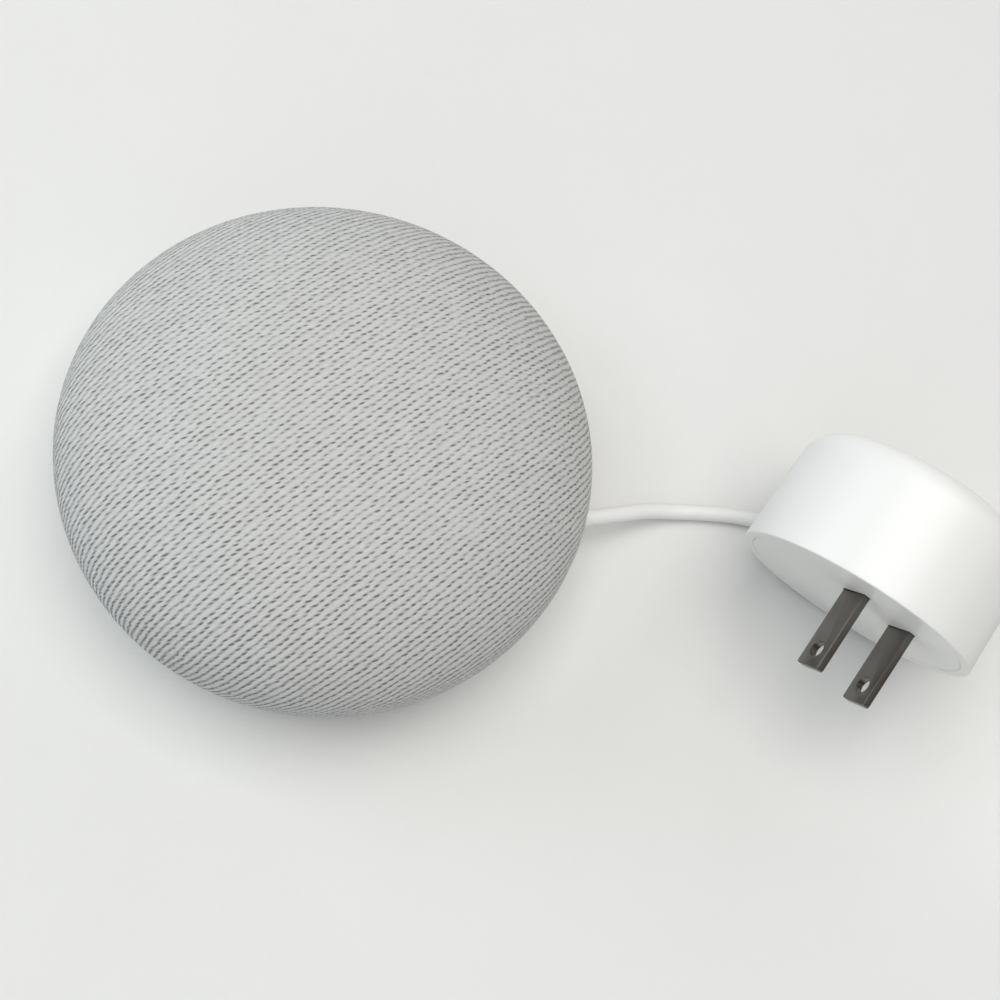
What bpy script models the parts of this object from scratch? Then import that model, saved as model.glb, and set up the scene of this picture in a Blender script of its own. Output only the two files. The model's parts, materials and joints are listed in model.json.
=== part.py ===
"""Puck-shaped smart speaker with its lead and wall adapter, as separate physical pieces.

The speaker stands on its foot pad at z = 0 with +Z up out of the fabric dome. The lead leaves
the lower shell on the +X side, runs over the floor behind the adapter and is wound into a coil.
Sizes below are in millimetres; the helpers turn them into metres.
"""
from math import asin, ceil, cos, degrees, pi, radians, sin, sqrt

import bmesh
import bpy
from mathutils import Matrix, Vector

MM = 0.001

# ---- driving dimensions of the speaker -------------------------------------------------------
BODY_RADIUS = 49.0
BODY_HEIGHT = 42.0
EQUATOR_Z = 20.0
DOME_EXPONENT = 2.3          # superellipse exponent of the dome's profile
FOOT_RADIUS = 37.0
FOOT_Z = 1.8                 # underside of the lower shell
SPLIT_Z = 14.0               # top edge of the lower shell
SHELL_WALL = 2.2
FABRIC_WALL = 0.7
GRILLE_WALL = 1.6
GAP = 0.3                    # clearance between neighbouring pieces
ROUND = 40                   # sides of the large turned pieces
SMALL = 16                   # sides of the small turned pieces

POST_RADIUS_AT = 32.0        # screw circle
POST_RADIUS = 3.2
POST_ANGLES = (45.0, 135.0, 225.0, 315.0)
SCREW_HEAD_RADIUS = 2.7
SCREW_SHANK_RADIUS = 1.25

BOARD_Z = 6.4
BOARD_RADIUS = 36.0

# ---- power socket and plug -------------------------------------------------------------------
SOCKET_HEADING = radians(36.0)
LEAD_EXIT = (49.0, 18.0, 8.4)        # where the lead leaves its strain relief
PLUG_RELIEF = 4.0
PLUG_BODY = 12.6
PLUG_BARREL = 7.0

# ---- mute switch -----------------------------------------------------------------------------
SWITCH_ANGLE = 62.0
SWITCH_Z = 10.8
SWITCH_TRAVEL = 2.0

# ---- lead ------------------------------------------------------------------------------------
LEAD_DIAMETER = 3.2
LEAD_ROUTE = (               # from the strain relief, under the adapter, to the coil
    (49.3, 18.2, 8.4), (54.1, 22.4, 7.2), (59.3, 27.3, 4.6), (64.5, 31.0, 2.4),
    (69.7, 34.0, 1.7), (75.0, 36.5, 1.7), (80.3, 38.3, 1.7), (85.8, 39.5, 1.7),
    (91.2, 39.8, 1.7), (96.6, 39.4, 1.7), (101.8, 39.4, 1.7), (107.2, 40.9, 1.7),
    (112.6, 43.8, 1.7), (118.0, 47.4, 1.7), (124.0, 51.4, 1.7), (131.0, 54.9, 1.7),
    (138.5, 57.0, 1.7), (146.4, 56.6, 1.8), (154.3, 53.5, 2.1), (162.4, 48.4, 2.5),
    (173.6, 40.3, 2.8),
)
TAIL_ROUTE = (               # from the coil to the adapter
    (153.0, 28.8, 11.2), (152.8, 33.0, 9.9), (152.3, 37.8, 7.9), (150.9, 42.4, 5.8),
    (148.2, 46.2, 4.0), (144.6, 48.8, 2.9), (140.8, 50.0, 2.6), (137.2, 49.9, 3.1),
    (134.0, 49.1, 4.1), (131.5, 47.9, 5.3), (129.23, 46.6, 6.73),
)
COIL_CENTRE = (174.0, 16.0)
COIL_INNER = 12.6
COIL_OUTER = 22.6
COIL_BOTTOM = 1.2
COIL_TOP = 14.4
TIE_ANGLE = radians(-50.0)

# ---- wall adapter, standing on its rim and leaning back on the lead --------------------------
ADAPTER_FACE_CENTRE = (99.64, 21.31, 23.05)
ADAPTER_HEADING = radians(263.3)     # direction of the blades, seen from above
ADAPTER_PITCH = radians(-16.6)
ADAPTER_ROLL = radians(65.7)
ADAPTER_RADIUS = 24.0
ADAPTER_LENGTH = 25.5
ADAPTER_CORNER = 5.5
ADAPTER_WALL = 2.0
BLADE_SPACING = 12.7
BLADE_WIDTH = 6.35
BLADE_THICKNESS = 1.5
BLADE_LENGTH = 15.9
BLADE_OFFSET = 7.9
BLADE_HOLE_RADIUS = 1.6
ADAPTER_EXIT_ANGLE = radians(42.0)   # turns the lead's exit towards the floor side
ADAPTER_EXIT_BACK = 18.0             # distance of that exit behind the rim
ADAPTER_EXIT_LEAN = radians(20.0)    # leans the strain relief away from the blades
ADAPTER_RELIEF = 12.0


def clear_scene():
    for item in list(bpy.data.objects):
        bpy.data.objects.remove(item, do_unlink=True)


def finish(name, colour, roughness, metallic=0.0):
    """One Principled material."""
    material = bpy.data.materials.new(name)
    material.use_nodes = True
    shader = material.node_tree.nodes["Principled BSDF"]
    shader.inputs["Base Color"].default_value = (*colour, 1.0)
    shader.inputs["Roughness"].default_value = roughness
    shader.inputs["Metallic"].default_value = metallic
    material.diffuse_color = (*colour, 1.0)
    return material


def add_object(name, bm, look, parent=None, matrix=None):
    """Turn a bmesh in millimetres into a named object in metres."""
    bmesh.ops.remove_doubles(bm, verts=bm.verts, dist=1e-4)
    bmesh.ops.recalc_face_normals(bm, faces=bm.faces)
    bmesh.ops.scale(bm, vec=(MM, MM, MM), verts=bm.verts)
    mesh = bpy.data.meshes.new(name)
    bm.to_mesh(mesh)
    bm.free()
    mesh.shade_smooth()
    mesh.set_sharp_from_angle(angle=radians(32.0))
    item = bpy.data.objects.new(name, mesh)
    bpy.context.scene.collection.objects.link(item)
    if look is not None:
        mesh.materials.append(finish(name + "_finish", *look))
    if parent is not None:
        item.parent = parent
    if matrix is not None:
        item.matrix_local = matrix
    return item


def place(x=0.0, y=0.0, z=0.0, turn=0.0):
    """Placement matrix from millimetres and a turn about Z."""
    return Matrix.Translation(Vector((x, y, z)) * MM) @ Matrix.Rotation(turn, 4, "Z")


def turned(name, profile, look, sides=ROUND, closed=True, **where):
    """Spin a profile of (radius, z) points about the local Z axis."""
    bm = bmesh.new()
    verts = [bm.verts.new((r, 0.0, z)) for r, z in profile]
    edges = [bm.edges.new(pair) for pair in zip(verts, verts[1:])]
    if closed:
        edges.append(bm.edges.new((verts[-1], verts[0])))
    bmesh.ops.spin(bm, geom=verts + edges, cent=(0, 0, 0), axis=(0, 0, 1), angle=2 * pi,
                   steps=sides, use_merge=True)
    return add_object(name, bm, look, **where)


def ring(name, inner, outer, low, high, look, sides=ROUND, **where):
    """Plain ring, or a disc when inner is zero."""
    if inner == 0.0:
        profile = [(0.0, low), (outer, low), (outer, high), (0.0, high)]
        return turned(name, profile, look, sides, closed=False, **where)
    profile = [(inner, low), (outer, low), (outer, high), (inner, high)]
    return turned(name, profile, look, sides, **where)


def block(name, size, look, bevel=0.0, **where):
    """Box centred on its own origin, with optional rounded edges."""
    bm = bmesh.new()
    bmesh.ops.create_cube(bm, size=1.0)
    bmesh.ops.scale(bm, vec=size, verts=bm.verts)
    if bevel > 0.0:
        bmesh.ops.bevel(bm, geom=bm.edges[:], offset=bevel, segments=1, affect="EDGES")
    return add_object(name, bm, look, **where)


def combine(target, tool, operation):
    """Boolean modifier whose tool is kept as a hidden guide."""
    tool.hide_render = True
    tool.display_type = "WIRE"
    change = target.modifiers.new(operation.lower() + "_" + tool.name, "BOOLEAN")
    change.operation = operation
    change.solver = "EXACT"
    change.object = tool


def arc(centre_r, centre_z, radius_r, radius_z, start, end, steps):
    """Points on an ellipse quadrant, angles in degrees."""
    angles = [radians(start + (end - start) * i / steps) for i in range(steps + 1)]
    return [(centre_r + radius_r * cos(a), centre_z + radius_z * sin(a)) for a in angles]


def lower_radius(z):
    """Outer radius of the lower shell at height z."""
    drop = min(1.0, (EQUATOR_Z - z) / (EQUATOR_Z - FOOT_Z))
    return FOOT_RADIUS + (BODY_RADIUS - FOOT_RADIUS) * sqrt(1.0 - drop * drop)


def body_outline(inset, start_z, steps):
    """Outer profile from start_z over the equator to the top, moved in by inset."""
    first = asin((EQUATOR_Z - start_z) / (EQUATOR_Z - FOOT_Z))
    points = [(FOOT_RADIUS + (BODY_RADIUS - FOOT_RADIUS) * cos(first) - inset, start_z)]
    points.append((BODY_RADIUS - inset, EQUATOR_Z))
    rise = BODY_HEIGHT - EQUATOR_Z - inset
    for i in range(1, steps + 1):
        angle = 0.5 * pi * i / steps
        r = (BODY_RADIUS - inset) * max(0.0, cos(angle)) ** (2.0 / DOME_EXPONENT)
        z = EQUATOR_Z + rise * sin(angle) ** (2.0 / DOME_EXPONENT)
        points.append((0.0 if i == steps else r, z))
    return points


def dome_height(radius, inset):
    """Height of the dome's surface, moved in by inset, at a radius."""
    share = (radius / (BODY_RADIUS - inset)) ** DOME_EXPONENT
    rise = BODY_HEIGHT - EQUATOR_Z - inset
    return EQUATOR_Z + rise * (1.0 - share) ** (1.0 / DOME_EXPONENT)


def dome_shell(name, outer_inset, wall, low, look, steps):
    """Bowl that follows the body's outline, open at its low edge."""
    outer = body_outline(outer_inset, low, steps)
    inner = body_outline(outer_inset + wall, low, steps)
    return turned(name, outer + inner[::-1], look, closed=True)


def polar(radius, degrees):
    return radius * cos(radians(degrees)), radius * sin(radians(degrees))


def axis_matrix(origin, direction):
    """Placement whose local Z runs along direction, origin in millimetres."""
    turn = Vector(direction).normalized().to_track_quat("Z", "Y").to_matrix().to_4x4()
    return Matrix.Translation(Vector(origin) * MM) @ turn


def smooth_route(route, spacing):
    """Catmull-Rom curve through the route's points, read every spacing millimetres."""
    points = [Vector(p) for p in route]
    points = [points[0] * 2 - points[1]] + points + [points[-1] * 2 - points[-2]]
    dense = []
    for a, b, c, d in zip(points, points[1:], points[2:], points[3:]):
        for i in range(20):
            t = i / 20
            dense.append(0.5 * (2 * b + (c - a) * t + (2 * a - 5 * b + 4 * c - d) * t * t
                                + (3 * b - a - 3 * c + d) * t ** 3))
    dense.append(points[-2])
    total = sum((q - p).length for p, q in zip(dense, dense[1:]))
    count = max(2, ceil(total / spacing))
    picked, walked, target = [dense[0]], 0.0, total / count
    for p, q in zip(dense, dense[1:]):
        walked += (q - p).length
        if walked >= target and len(picked) < count:
            picked.append(q)
            target += total / count
    return picked + [dense[-1]]


def lead_tube(name, route, look):
    """Plain round tube with filled caps along a smooth route."""
    points = smooth_route(route, 2.5 * LEAD_DIAMETER)
    curve = bpy.data.curves.new(name, "CURVE")
    curve.dimensions = "3D"
    curve.bevel_depth = 0.5 * LEAD_DIAMETER * MM
    curve.bevel_resolution = 2
    curve.use_fill_caps = True
    spline = curve.splines.new("POLY")
    spline.points.add(len(points) - 1)
    for slot, point in zip(spline.points, points):
        slot.co = (*(point * MM), 1.0)
    item = bpy.data.objects.new(name, curve)
    bpy.context.scene.collection.objects.link(item)
    curve.materials.append(finish(name + "_finish", *look))
    return item


# ---- finishes: colour, roughness, metallic ---------------------------------------------------
FABRIC = ((0.52, 0.53, 0.53), 0.95)
SHELL = ((0.78, 0.78, 0.77), 0.45)
RUBBER = ((0.55, 0.56, 0.57), 0.85)
STEEL = ((0.55, 0.55, 0.56), 0.35, 1.0)
DARK_STEEL = ((0.16, 0.16, 0.17), 0.5, 1.0)
ALUMINIUM = ((0.75, 0.76, 0.78), 0.4, 1.0)
FERRITE = ((0.08, 0.08, 0.09), 0.6)
BOARD = ((0.04, 0.20, 0.10), 0.5)
CHIP = ((0.03, 0.03, 0.035), 0.5)
COPPER = ((0.80, 0.42, 0.22), 0.3, 1.0)
PAPER = ((0.07, 0.07, 0.075), 0.9)
FOAM = ((0.10, 0.10, 0.11), 0.95)
FRAME = ((0.12, 0.12, 0.13), 0.6)
CLEAR = ((0.92, 0.93, 0.95), 0.1)
ORANGE = ((0.85, 0.33, 0.12), 0.5)
WHITE = ((0.88, 0.88, 0.87), 0.35)
LEAD = ((0.86, 0.86, 0.85), 0.4)
BLADE = ((0.50, 0.47, 0.43), 0.3, 1.0)


def build_base():
    """Foot pad, lower shell with its holes, screws and trim ring."""
    turned("foot_pad", [(0.0, 0.0), (35.6, 0.0), (36.2, 0.5), (36.2, FOOT_Z - GAP),
                        (0.0, FOOT_Z - GAP)], RUBBER, closed=False)
    floor_top = FOOT_Z + SHELL_WALL
    belly = BODY_RADIUS - FOOT_RADIUS
    outer_end = degrees(asin((EQUATOR_Z - SPLIT_Z) / (EQUATOR_Z - FOOT_Z)))
    inner_end = degrees(asin((EQUATOR_Z - SPLIT_Z) / (EQUATOR_Z - floor_top)))
    outer = arc(FOOT_RADIUS, EQUATOR_Z, belly, EQUATOR_Z - FOOT_Z, -90, -outer_end, 7)
    inner = arc(FOOT_RADIUS - 1.0, EQUATOR_Z, belly + 1.0 - SHELL_WALL, EQUATOR_Z - floor_top,
                -inner_end, -90, 5)
    profile = [(0.0, FOOT_Z)] + outer + inner + [(0.0, floor_top)]
    shell = turned("base_shell", profile, SHELL, closed=False)
    for index, angle in enumerate(POST_ANGLES, 1):
        x, y = polar(POST_RADIUS_AT, angle)
        sink = ring(f"screw_hole_{index}", 0.0, 1.7, 0.0, 9.0, None, sides=12, matrix=place(x, y))
        combine(shell, sink, "DIFFERENCE")
        counterbore = ring(f"screw_recess_{index}", 0.0, 3.2, 0.0, FOOT_Z + 1.0, None, sides=12,
                           matrix=place(x, y))
        combine(shell, counterbore, "DIFFERENCE")
        turned(f"base_screw_{index}",
               [(0.0, FOOT_Z - 0.1), (SCREW_HEAD_RADIUS, FOOT_Z - 0.1),
                (SCREW_HEAD_RADIUS, FOOT_Z + 0.7), (SCREW_SHANK_RADIUS, FOOT_Z + 0.7),
                (SCREW_SHANK_RADIUS, 13.5), (0.0, 14.0)],
               DARK_STEEL, sides=12, closed=False, matrix=place(x, y))
    heading = (cos(SOCKET_HEADING), sin(SOCKET_HEADING), 0.0)
    mouth = ring("socket_mouth", 0.0, 3.3, -17.0, 4.0, None, sides=SMALL,
                 matrix=axis_matrix(LEAD_EXIT, heading))
    combine(shell, mouth, "DIFFERENCE")
    slot_x, slot_y = polar(lower_radius(SWITCH_Z), SWITCH_ANGLE)
    slot = block("switch_slot", (9.0, 3.8 + SWITCH_TRAVEL + 0.8, 3.4), None,
                 matrix=place(slot_x, slot_y, SWITCH_Z, radians(SWITCH_ANGLE)))
    combine(shell, slot, "DIFFERENCE")
    low, high = SPLIT_Z + GAP, SPLIT_Z + GAP + 1.0
    ring("trim_ring", 44.5, lower_radius(low) - 0.5, low, high, RUBBER)


def build_electronics():
    """Heat spreader, main board and the parts that sit on it."""
    ring("heat_spreader", 0.0, 24.0, 4.3, 5.5, ALUMINIUM, sides=24)
    block("thermal_pad", (15.0, 15.0, 0.3), FOAM, matrix=place(0, 0, 5.95))
    board = ring("main_board", 0.0, BOARD_RADIUS, BOARD_Z, BOARD_Z + 1.5, BOARD)
    for index, angle in enumerate(POST_ANGLES, 1):
        x, y = polar(POST_RADIUS_AT, angle)
        notch = ring(f"board_notch_{index}", 0.0, POST_RADIUS + 0.5, 5.0, 9.5, None, sides=12,
                     matrix=place(x, y))
        combine(board, notch, "DIFFERENCE")
    depth = PLUG_RELIEF + PLUG_BODY + 5.0
    x = LEAD_EXIT[0] - depth * cos(SOCKET_HEADING)
    y = LEAD_EXIT[1] - depth * sin(SOCKET_HEADING)
    bay = block("socket_bay", (16.0, 10.0, 6.0), None, matrix=place(x, y, 7.2, SOCKET_HEADING))
    combine(board, bay, "DIFFERENCE")
    above = BOARD_Z + 1.5 + GAP
    block("processor_shield", (15.0, 15.0, 1.8), STEEL, bevel=0.3, matrix=place(-9, 5, above + 0.9))
    block("radio_shield", (12.0, 9.0, 1.6), STEEL, bevel=0.3, matrix=place(9, 12, above + 0.8))
    block("amplifier_chip", (6.0, 6.0, 1.0), CHIP, matrix=place(10, -10, above + 0.5))
    block("board_connector", (9.0, 3.2, 1.4), WHITE, matrix=place(0, 26.5, above + 0.7))
    block("antenna", (16.0, 0.6, 4.0), COPPER, matrix=place(0, -40.5, 11.0))


def build_frame():
    """Mid frame on four posts, which holds the driver, the dome and the microphones."""
    low, high = 25.4, 27.6
    frame = ring("mid_frame", 24.4, 43.0, low, high, FRAME)
    for index, angle in enumerate(POST_ANGLES, 1):
        x, y = polar(POST_RADIUS_AT, angle)
        post = ring(f"frame_post_{index}", 0.0, POST_RADIUS, FOOT_Z + SHELL_WALL + GAP, low + 1.0,
                    None, sides=12, matrix=place(x, y))
        combine(frame, post, "UNION")
        bore = ring(f"frame_bore_{index}", 0.0, SCREW_SHANK_RADIUS + GAP, 2.0, 15.0, None,
                    sides=12, matrix=place(x, y))
        combine(frame, bore, "DIFFERENCE")
    pass_through = block("ribbon_slot", (8.0, 1.8, 6.0), None, matrix=place(0, 30, 26.5))
    combine(frame, pass_through, "DIFFERENCE")
    for index, angle in enumerate((90.0, 210.0, 330.0), 1):
        x, y = polar(38.0, angle)
        block(f"microphone_{index}", (3.0, 4.0, 1.1), STEEL,
              matrix=place(x, y, high + GAP + 0.55, radians(angle)))


def build_driver():
    """Full-range driver: fixed motor and basket, moving coil, cone and dust cap."""
    turned("driver_yoke", [(0.0, 10.6), (14.0, 10.6), (14.0, 12.4), (6.0, 12.4), (6.0, 18.4),
                           (0.0, 18.4)], STEEL, sides=24, closed=False)
    ring("driver_magnet", 8.4, 14.5, 12.7, 16.4, FERRITE, sides=24)
    ring("driver_top_plate", 7.7, 14.0, 16.7, 18.4, STEEL, sides=24)
    turned("driver_basket", [(8.2, 18.7), (15.0, 18.7), (18.4, 19.4), (23.2, 27.0), (23.2, 27.9),
                             (26.5, 27.9), (26.5, 29.3), (21.9, 29.3), (21.9, 27.4), (17.4, 20.3),
                             (8.2, 19.6)], DARK_STEEL, sides=24)
    turned("driver_spider", [(7.5, 20.6), (9.3, 21.2), (11.1, 20.6), (12.9, 21.2), (14.7, 20.6),
                             (17.2, 20.6), (17.2, 21.0), (14.7, 21.0), (12.9, 21.6), (11.1, 21.0),
                             (9.3, 21.6), (7.5, 21.0)], ORANGE, sides=24)
    ring("voice_coil", 6.45, 7.2, 14.2, 22.5, COPPER, sides=24)
    turned("driver_cone", [(6.4, 22.8), (7.8, 22.8), (18.2, 28.5), (18.2, 29.1), (7.5, 23.5),
                           (6.4, 23.5)], PAPER, sides=24)
    turned("dust_cap", [(0.0, 26.2), (4.6, 25.5), (8.4, 24.3), (8.7, 24.8), (4.8, 26.1),
                        (0.0, 26.8)], PAPER, sides=24, closed=False)
    turned("driver_surround", [(18.6, 29.6), (19.4, 30.9), (20.3, 31.3), (21.2, 30.9), (22.0, 29.6),
                               (26.0, 29.6), (26.0, 30.1), (22.5, 30.1), (21.5, 31.4),
                               (20.3, 31.9), (19.1, 31.4), (18.5, 30.2)], RUBBER, sides=24)
    ring("driver_gasket", 23.0, 26.0, 30.4, 32.3, FOAM, sides=24)


def build_top():
    """Perforated dome, fabric, light guides, their board, touch pads and the ribbon."""
    low = SPLIT_Z + 2 * GAP + 1.0
    inset = FABRIC_WALL + GAP
    dome = dome_shell("grille_dome", inset, GRILLE_WALL, low, FRAME, 7)
    for row, (radius, count) in enumerate(((15.0, 8), (25.0, 12), (34.0, 16)), 1):
        for index in range(count):
            x, y = polar(radius, 360.0 * (index + 0.5 * (row % 2)) / count)
            hole = ring(f"sound_hole_{row}_{index}", 0.0, 1.5, 26.0, 44.0, None, sides=6,
                        matrix=place(x, y))
            combine(dome, hole, "DIFFERENCE")
    dome_shell("fabric_cover", 0.0, FABRIC_WALL, low, FABRIC, 8)
    block("light_board", (30.0, 8.0, 0.8), BOARD, matrix=place(0, 0, 34.0))
    for index, x in enumerate((-9.0, -3.0, 3.0, 9.0), 1):
        top = dome_height(abs(x) + 1.4, inset + GRILLE_WALL) - GAP
        ring(f"light_guide_{index}", 0.0, 1.3, 34.7, top, CLEAR, sides=12, matrix=place(x, 0))
    for side, x in (("left", -32.0), ("right", 32.0)):
        block(f"touch_pad_{side}", (11.0, 12.0, 0.3), COPPER, matrix=place(x, 0, 31.0))
    bm = bmesh.new()
    outline = [(30.15, 9.9), (30.15, 33.2), (3.0, 33.2), (3.0, 32.9), (29.85, 32.9), (29.85, 9.9)]
    face = bm.faces.new([bm.verts.new((-3.0, y, z)) for y, z in outline])
    swept = bmesh.ops.extrude_face_region(bm, geom=[face])["geom"]
    bmesh.ops.translate(bm, vec=(6.0, 0, 0), verts=[v for v in swept if isinstance(v, bmesh.types.BMVert)])
    add_object("ribbon_cable", bm, ORANGE)


def build_socket():
    """Power socket in the lower shell and its centre pin."""
    heading = (cos(SOCKET_HEADING), sin(SOCKET_HEADING), 0.0)
    front = PLUG_RELIEF + PLUG_BODY - 0.5
    middle = front + 5.5
    x = LEAD_EXIT[0] - middle * heading[0]
    y = LEAD_EXIT[1] - middle * heading[1]
    housing = block("power_socket", (11.0, 8.2, 7.0), CHIP,
                    matrix=place(x, y, LEAD_EXIT[2], SOCKET_HEADING))
    deep = front + PLUG_BARREL + 2.0
    throat = ring("socket_throat", 0.0, 2.2, -deep, 0.0, None, sides=SMALL,
                  matrix=axis_matrix(LEAD_EXIT, heading))
    entry = ring("socket_entry", 0.0, 3.2, -front - 1.0, 0.0, None, sides=SMALL,
                 matrix=axis_matrix(LEAD_EXIT, heading))
    combine(housing, throat, "DIFFERENCE")
    combine(housing, entry, "DIFFERENCE")
    ring("socket_pin", 0.0, 0.55, GAP - deep, 3.5 - deep, STEEL, sides=8,
         matrix=axis_matrix(LEAD_EXIT, heading))


def build_mute_switch():
    """Sliding microphone switch: fixed body inside, moving knob through the slot."""
    outer = lower_radius(SWITCH_Z)
    turn = radians(SWITCH_ANGLE)
    x, y = polar(41.0, SWITCH_ANGLE)
    block("mute_switch_body", (3.0, 9.0, 4.0), CHIP, matrix=place(x, y, SWITCH_Z, turn))
    knob_in, knob_out = 42.8, outer + 0.9
    bm = bmesh.new()
    bmesh.ops.create_cube(bm, size=1.0)
    bmesh.ops.scale(bm, vec=(knob_out - knob_in, 3.8, 2.6), verts=bm.verts)
    bmesh.ops.bevel(bm, geom=bm.edges[:], offset=0.35, segments=1, affect="EDGES")
    x, y = polar(0.5 * (knob_in + knob_out), SWITCH_ANGLE)
    back = -0.5 * SWITCH_TRAVEL
    add_object("mute_switch_knob", bm, ORANGE,
               matrix=place(x - back * sin(turn), y + back * cos(turn), SWITCH_Z, turn))


def build_plug():
    """Plug on the lead: moulded body with its strain relief, and the metal barrel."""
    matrix = axis_matrix(LEAD_EXIT, (cos(SOCKET_HEADING), sin(SOCKET_HEADING), 0.0))
    end = -(PLUG_RELIEF + PLUG_BODY)
    turned("plug_body", [(0.0, end), (2.7, end), (2.8, end + 0.6), (2.8, -PLUG_RELIEF - 0.8),
                         (2.3, -PLUG_RELIEF), (1.9, 0.0), (0.0, 0.0)], LEAD, sides=SMALL,
           closed=False, matrix=matrix)
    low, high = end - GAP - PLUG_BARREL, end - GAP
    turned("plug_barrel", [(0.0, high - 1.5), (0.9, high - 1.5), (0.9, low), (1.75, low),
                           (1.75, high), (0.0, high)], STEEL, sides=SMALL, closed=False,
           matrix=matrix)


def build_lead():
    """Lead to the coil, the coil's outer shape, its tie, and the lead to the adapter."""
    lead_tube("power_lead", LEAD_ROUTE, LEAD)
    lead_tube("adapter_lead", TAIL_ROUTE, LEAD)
    soft = 2.4
    turned("lead_coil", [(COIL_INNER, COIL_BOTTOM + soft), (COIL_INNER + soft, COIL_BOTTOM),
                         (COIL_OUTER - soft, COIL_BOTTOM), (COIL_OUTER, COIL_BOTTOM + soft),
                         (COIL_OUTER, COIL_TOP - soft), (COIL_OUTER - soft, COIL_TOP),
                         (COIL_INNER + soft, COIL_TOP), (COIL_INNER, COIL_TOP - soft)],
           LEAD, sides=24, matrix=place(*COIL_CENTRE))
    middle = 0.5 * (COIL_INNER + COIL_OUTER)
    x = COIL_CENTRE[0] + middle * cos(TIE_ANGLE)
    y = COIL_CENTRE[1] + middle * sin(TIE_ANGLE)
    z = 0.5 * (COIL_BOTTOM + COIL_TOP)
    wide, tall = COIL_OUTER - COIL_INNER, COIL_TOP - COIL_BOTTOM
    tie = block("lead_tie", (wide + 2.6, 6.0, tall + 2.2), FRAME, bevel=0.9,
                matrix=place(x, y, z, TIE_ANGLE))
    hollow = block("tie_loop", (wide + 1.0, 12.0, tall + 0.6), None,
                   matrix=place(x, y, z, TIE_ANGLE))
    combine(tie, hollow, "DIFFERENCE")


def adapter_frame():
    """Empty at the centre of the blade face: X across the blades, Y along their width, Z back."""
    heading, pitch, roll = ADAPTER_HEADING, ADAPTER_PITCH, ADAPTER_ROLL
    blades = Vector((cos(heading) * cos(pitch), sin(heading) * cos(pitch), sin(pitch)))
    level = Vector((-sin(heading), cos(heading), 0.0))
    steep = blades.cross(level)
    width = level * cos(roll) + steep * sin(roll)
    across = blades.cross(width)
    axes = Matrix((across, width, -blades)).transposed().to_4x4()
    empty = bpy.data.objects.new("adapter_place", None)
    bpy.context.scene.collection.objects.link(empty)
    empty.matrix_world = Matrix.Translation(Vector(ADAPTER_FACE_CENTRE) * MM) @ axes
    exit_way = level * cos(ADAPTER_EXIT_ANGLE) - steep * sin(ADAPTER_EXIT_ANGLE)
    return empty, Vector((exit_way.dot(across), exit_way.dot(width), 0.0))


def build_adapter():
    """Wall adapter: cup, face plate, blades, grommet and what is inside."""
    origin, exit_way = adapter_frame()
    back, corner, wall = ADAPTER_LENGTH, ADAPTER_CORNER, ADAPTER_WALL
    side = ADAPTER_RADIUS - 0.5
    outer = [(0.0, back)] + arc(side - corner, back - corner, corner, corner, 90, 0, 4)
    outer += [(ADAPTER_RADIUS, 0.5), (ADAPTER_RADIUS - 0.5, 0.0)]
    inner = [(ADAPTER_RADIUS - wall, 0.0)]
    inner += arc(side - corner, back - corner, corner - wall, corner - wall, 0, 90, 3)
    inner += [(0.0, back - wall)]
    cup = turned("adapter_housing", outer + inner, WHITE, sides=32, closed=False, parent=origin)
    grommet_at = exit_way * (ADAPTER_RADIUS - 1.4) + Vector((0, 0, ADAPTER_EXIT_BACK))
    grommet_way = exit_way * cos(ADAPTER_EXIT_LEAN) + Vector((0, 0, sin(ADAPTER_EXIT_LEAN)))
    hole = ring("adapter_lead_hole", 0.0, 2.9, -3.0, 6.0, None, sides=12, parent=origin,
                matrix=axis_matrix(grommet_at, grommet_way))
    combine(cup, hole, "DIFFERENCE")
    turned("adapter_relief", [(0.0, -0.4), (2.6, -0.4), (2.6, 1.8), (1.9, 1.5 + ADAPTER_RELIEF),
                              (0.0, 1.5 + ADAPTER_RELIEF)], WHITE, sides=12, closed=False,
           parent=origin, matrix=axis_matrix(grommet_at, grommet_way))
    plate = ring("adapter_face", 0.0, ADAPTER_RADIUS - wall - GAP, 0.5, 2.3, WHITE, sides=32,
                 parent=origin)
    for side_name, x in (("left", -0.5 * BLADE_SPACING), ("right", 0.5 * BLADE_SPACING)):
        gate = block(f"blade_slot_{side_name}", (BLADE_THICKNESS + 0.6, BLADE_WIDTH + 0.6, 8.0),
                     None, parent=origin, matrix=place(x, BLADE_OFFSET, 1.5))
        combine(plate, gate, "DIFFERENCE")
        length = BLADE_LENGTH + 4.6
        blade = block(f"blade_{side_name}", (BLADE_THICKNESS, BLADE_WIDTH, length), BLADE,
                      bevel=0.25, parent=origin,
                      matrix=place(x, BLADE_OFFSET, 4.6 - 0.5 * length))
        eye_at = Vector((x - 3.0, BLADE_OFFSET, 3.6 - BLADE_LENGTH))
        eye = ring(f"blade_eye_{side_name}", 0.0, BLADE_HOLE_RADIUS, 0.0, 6.0, None, sides=12,
                   parent=origin, matrix=axis_matrix(eye_at, (1.0, 0.0, 0.0)))
        combine(blade, eye, "DIFFERENCE")
    block("adapter_board", (30.0, 28.0, 1.4), BOARD, parent=origin, matrix=place(0, 0, 9.2))
    block("adapter_transformer", (13.0, 12.0, 9.0), FERRITE, bevel=0.8, parent=origin,
          matrix=place(-6.0, -4.0, 14.8))
    ring("adapter_capacitor", 0.0, 4.5, 10.3, 21.0, CHIP, sides=12, parent=origin,
         matrix=place(8.5, 4.0))


clear_scene()
build_base()
build_electronics()
build_frame()
build_driver()
build_top()
build_socket()
build_mute_switch()
build_plug()
build_lead()
build_adapter()
bpy.context.view_layer.update()
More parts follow.
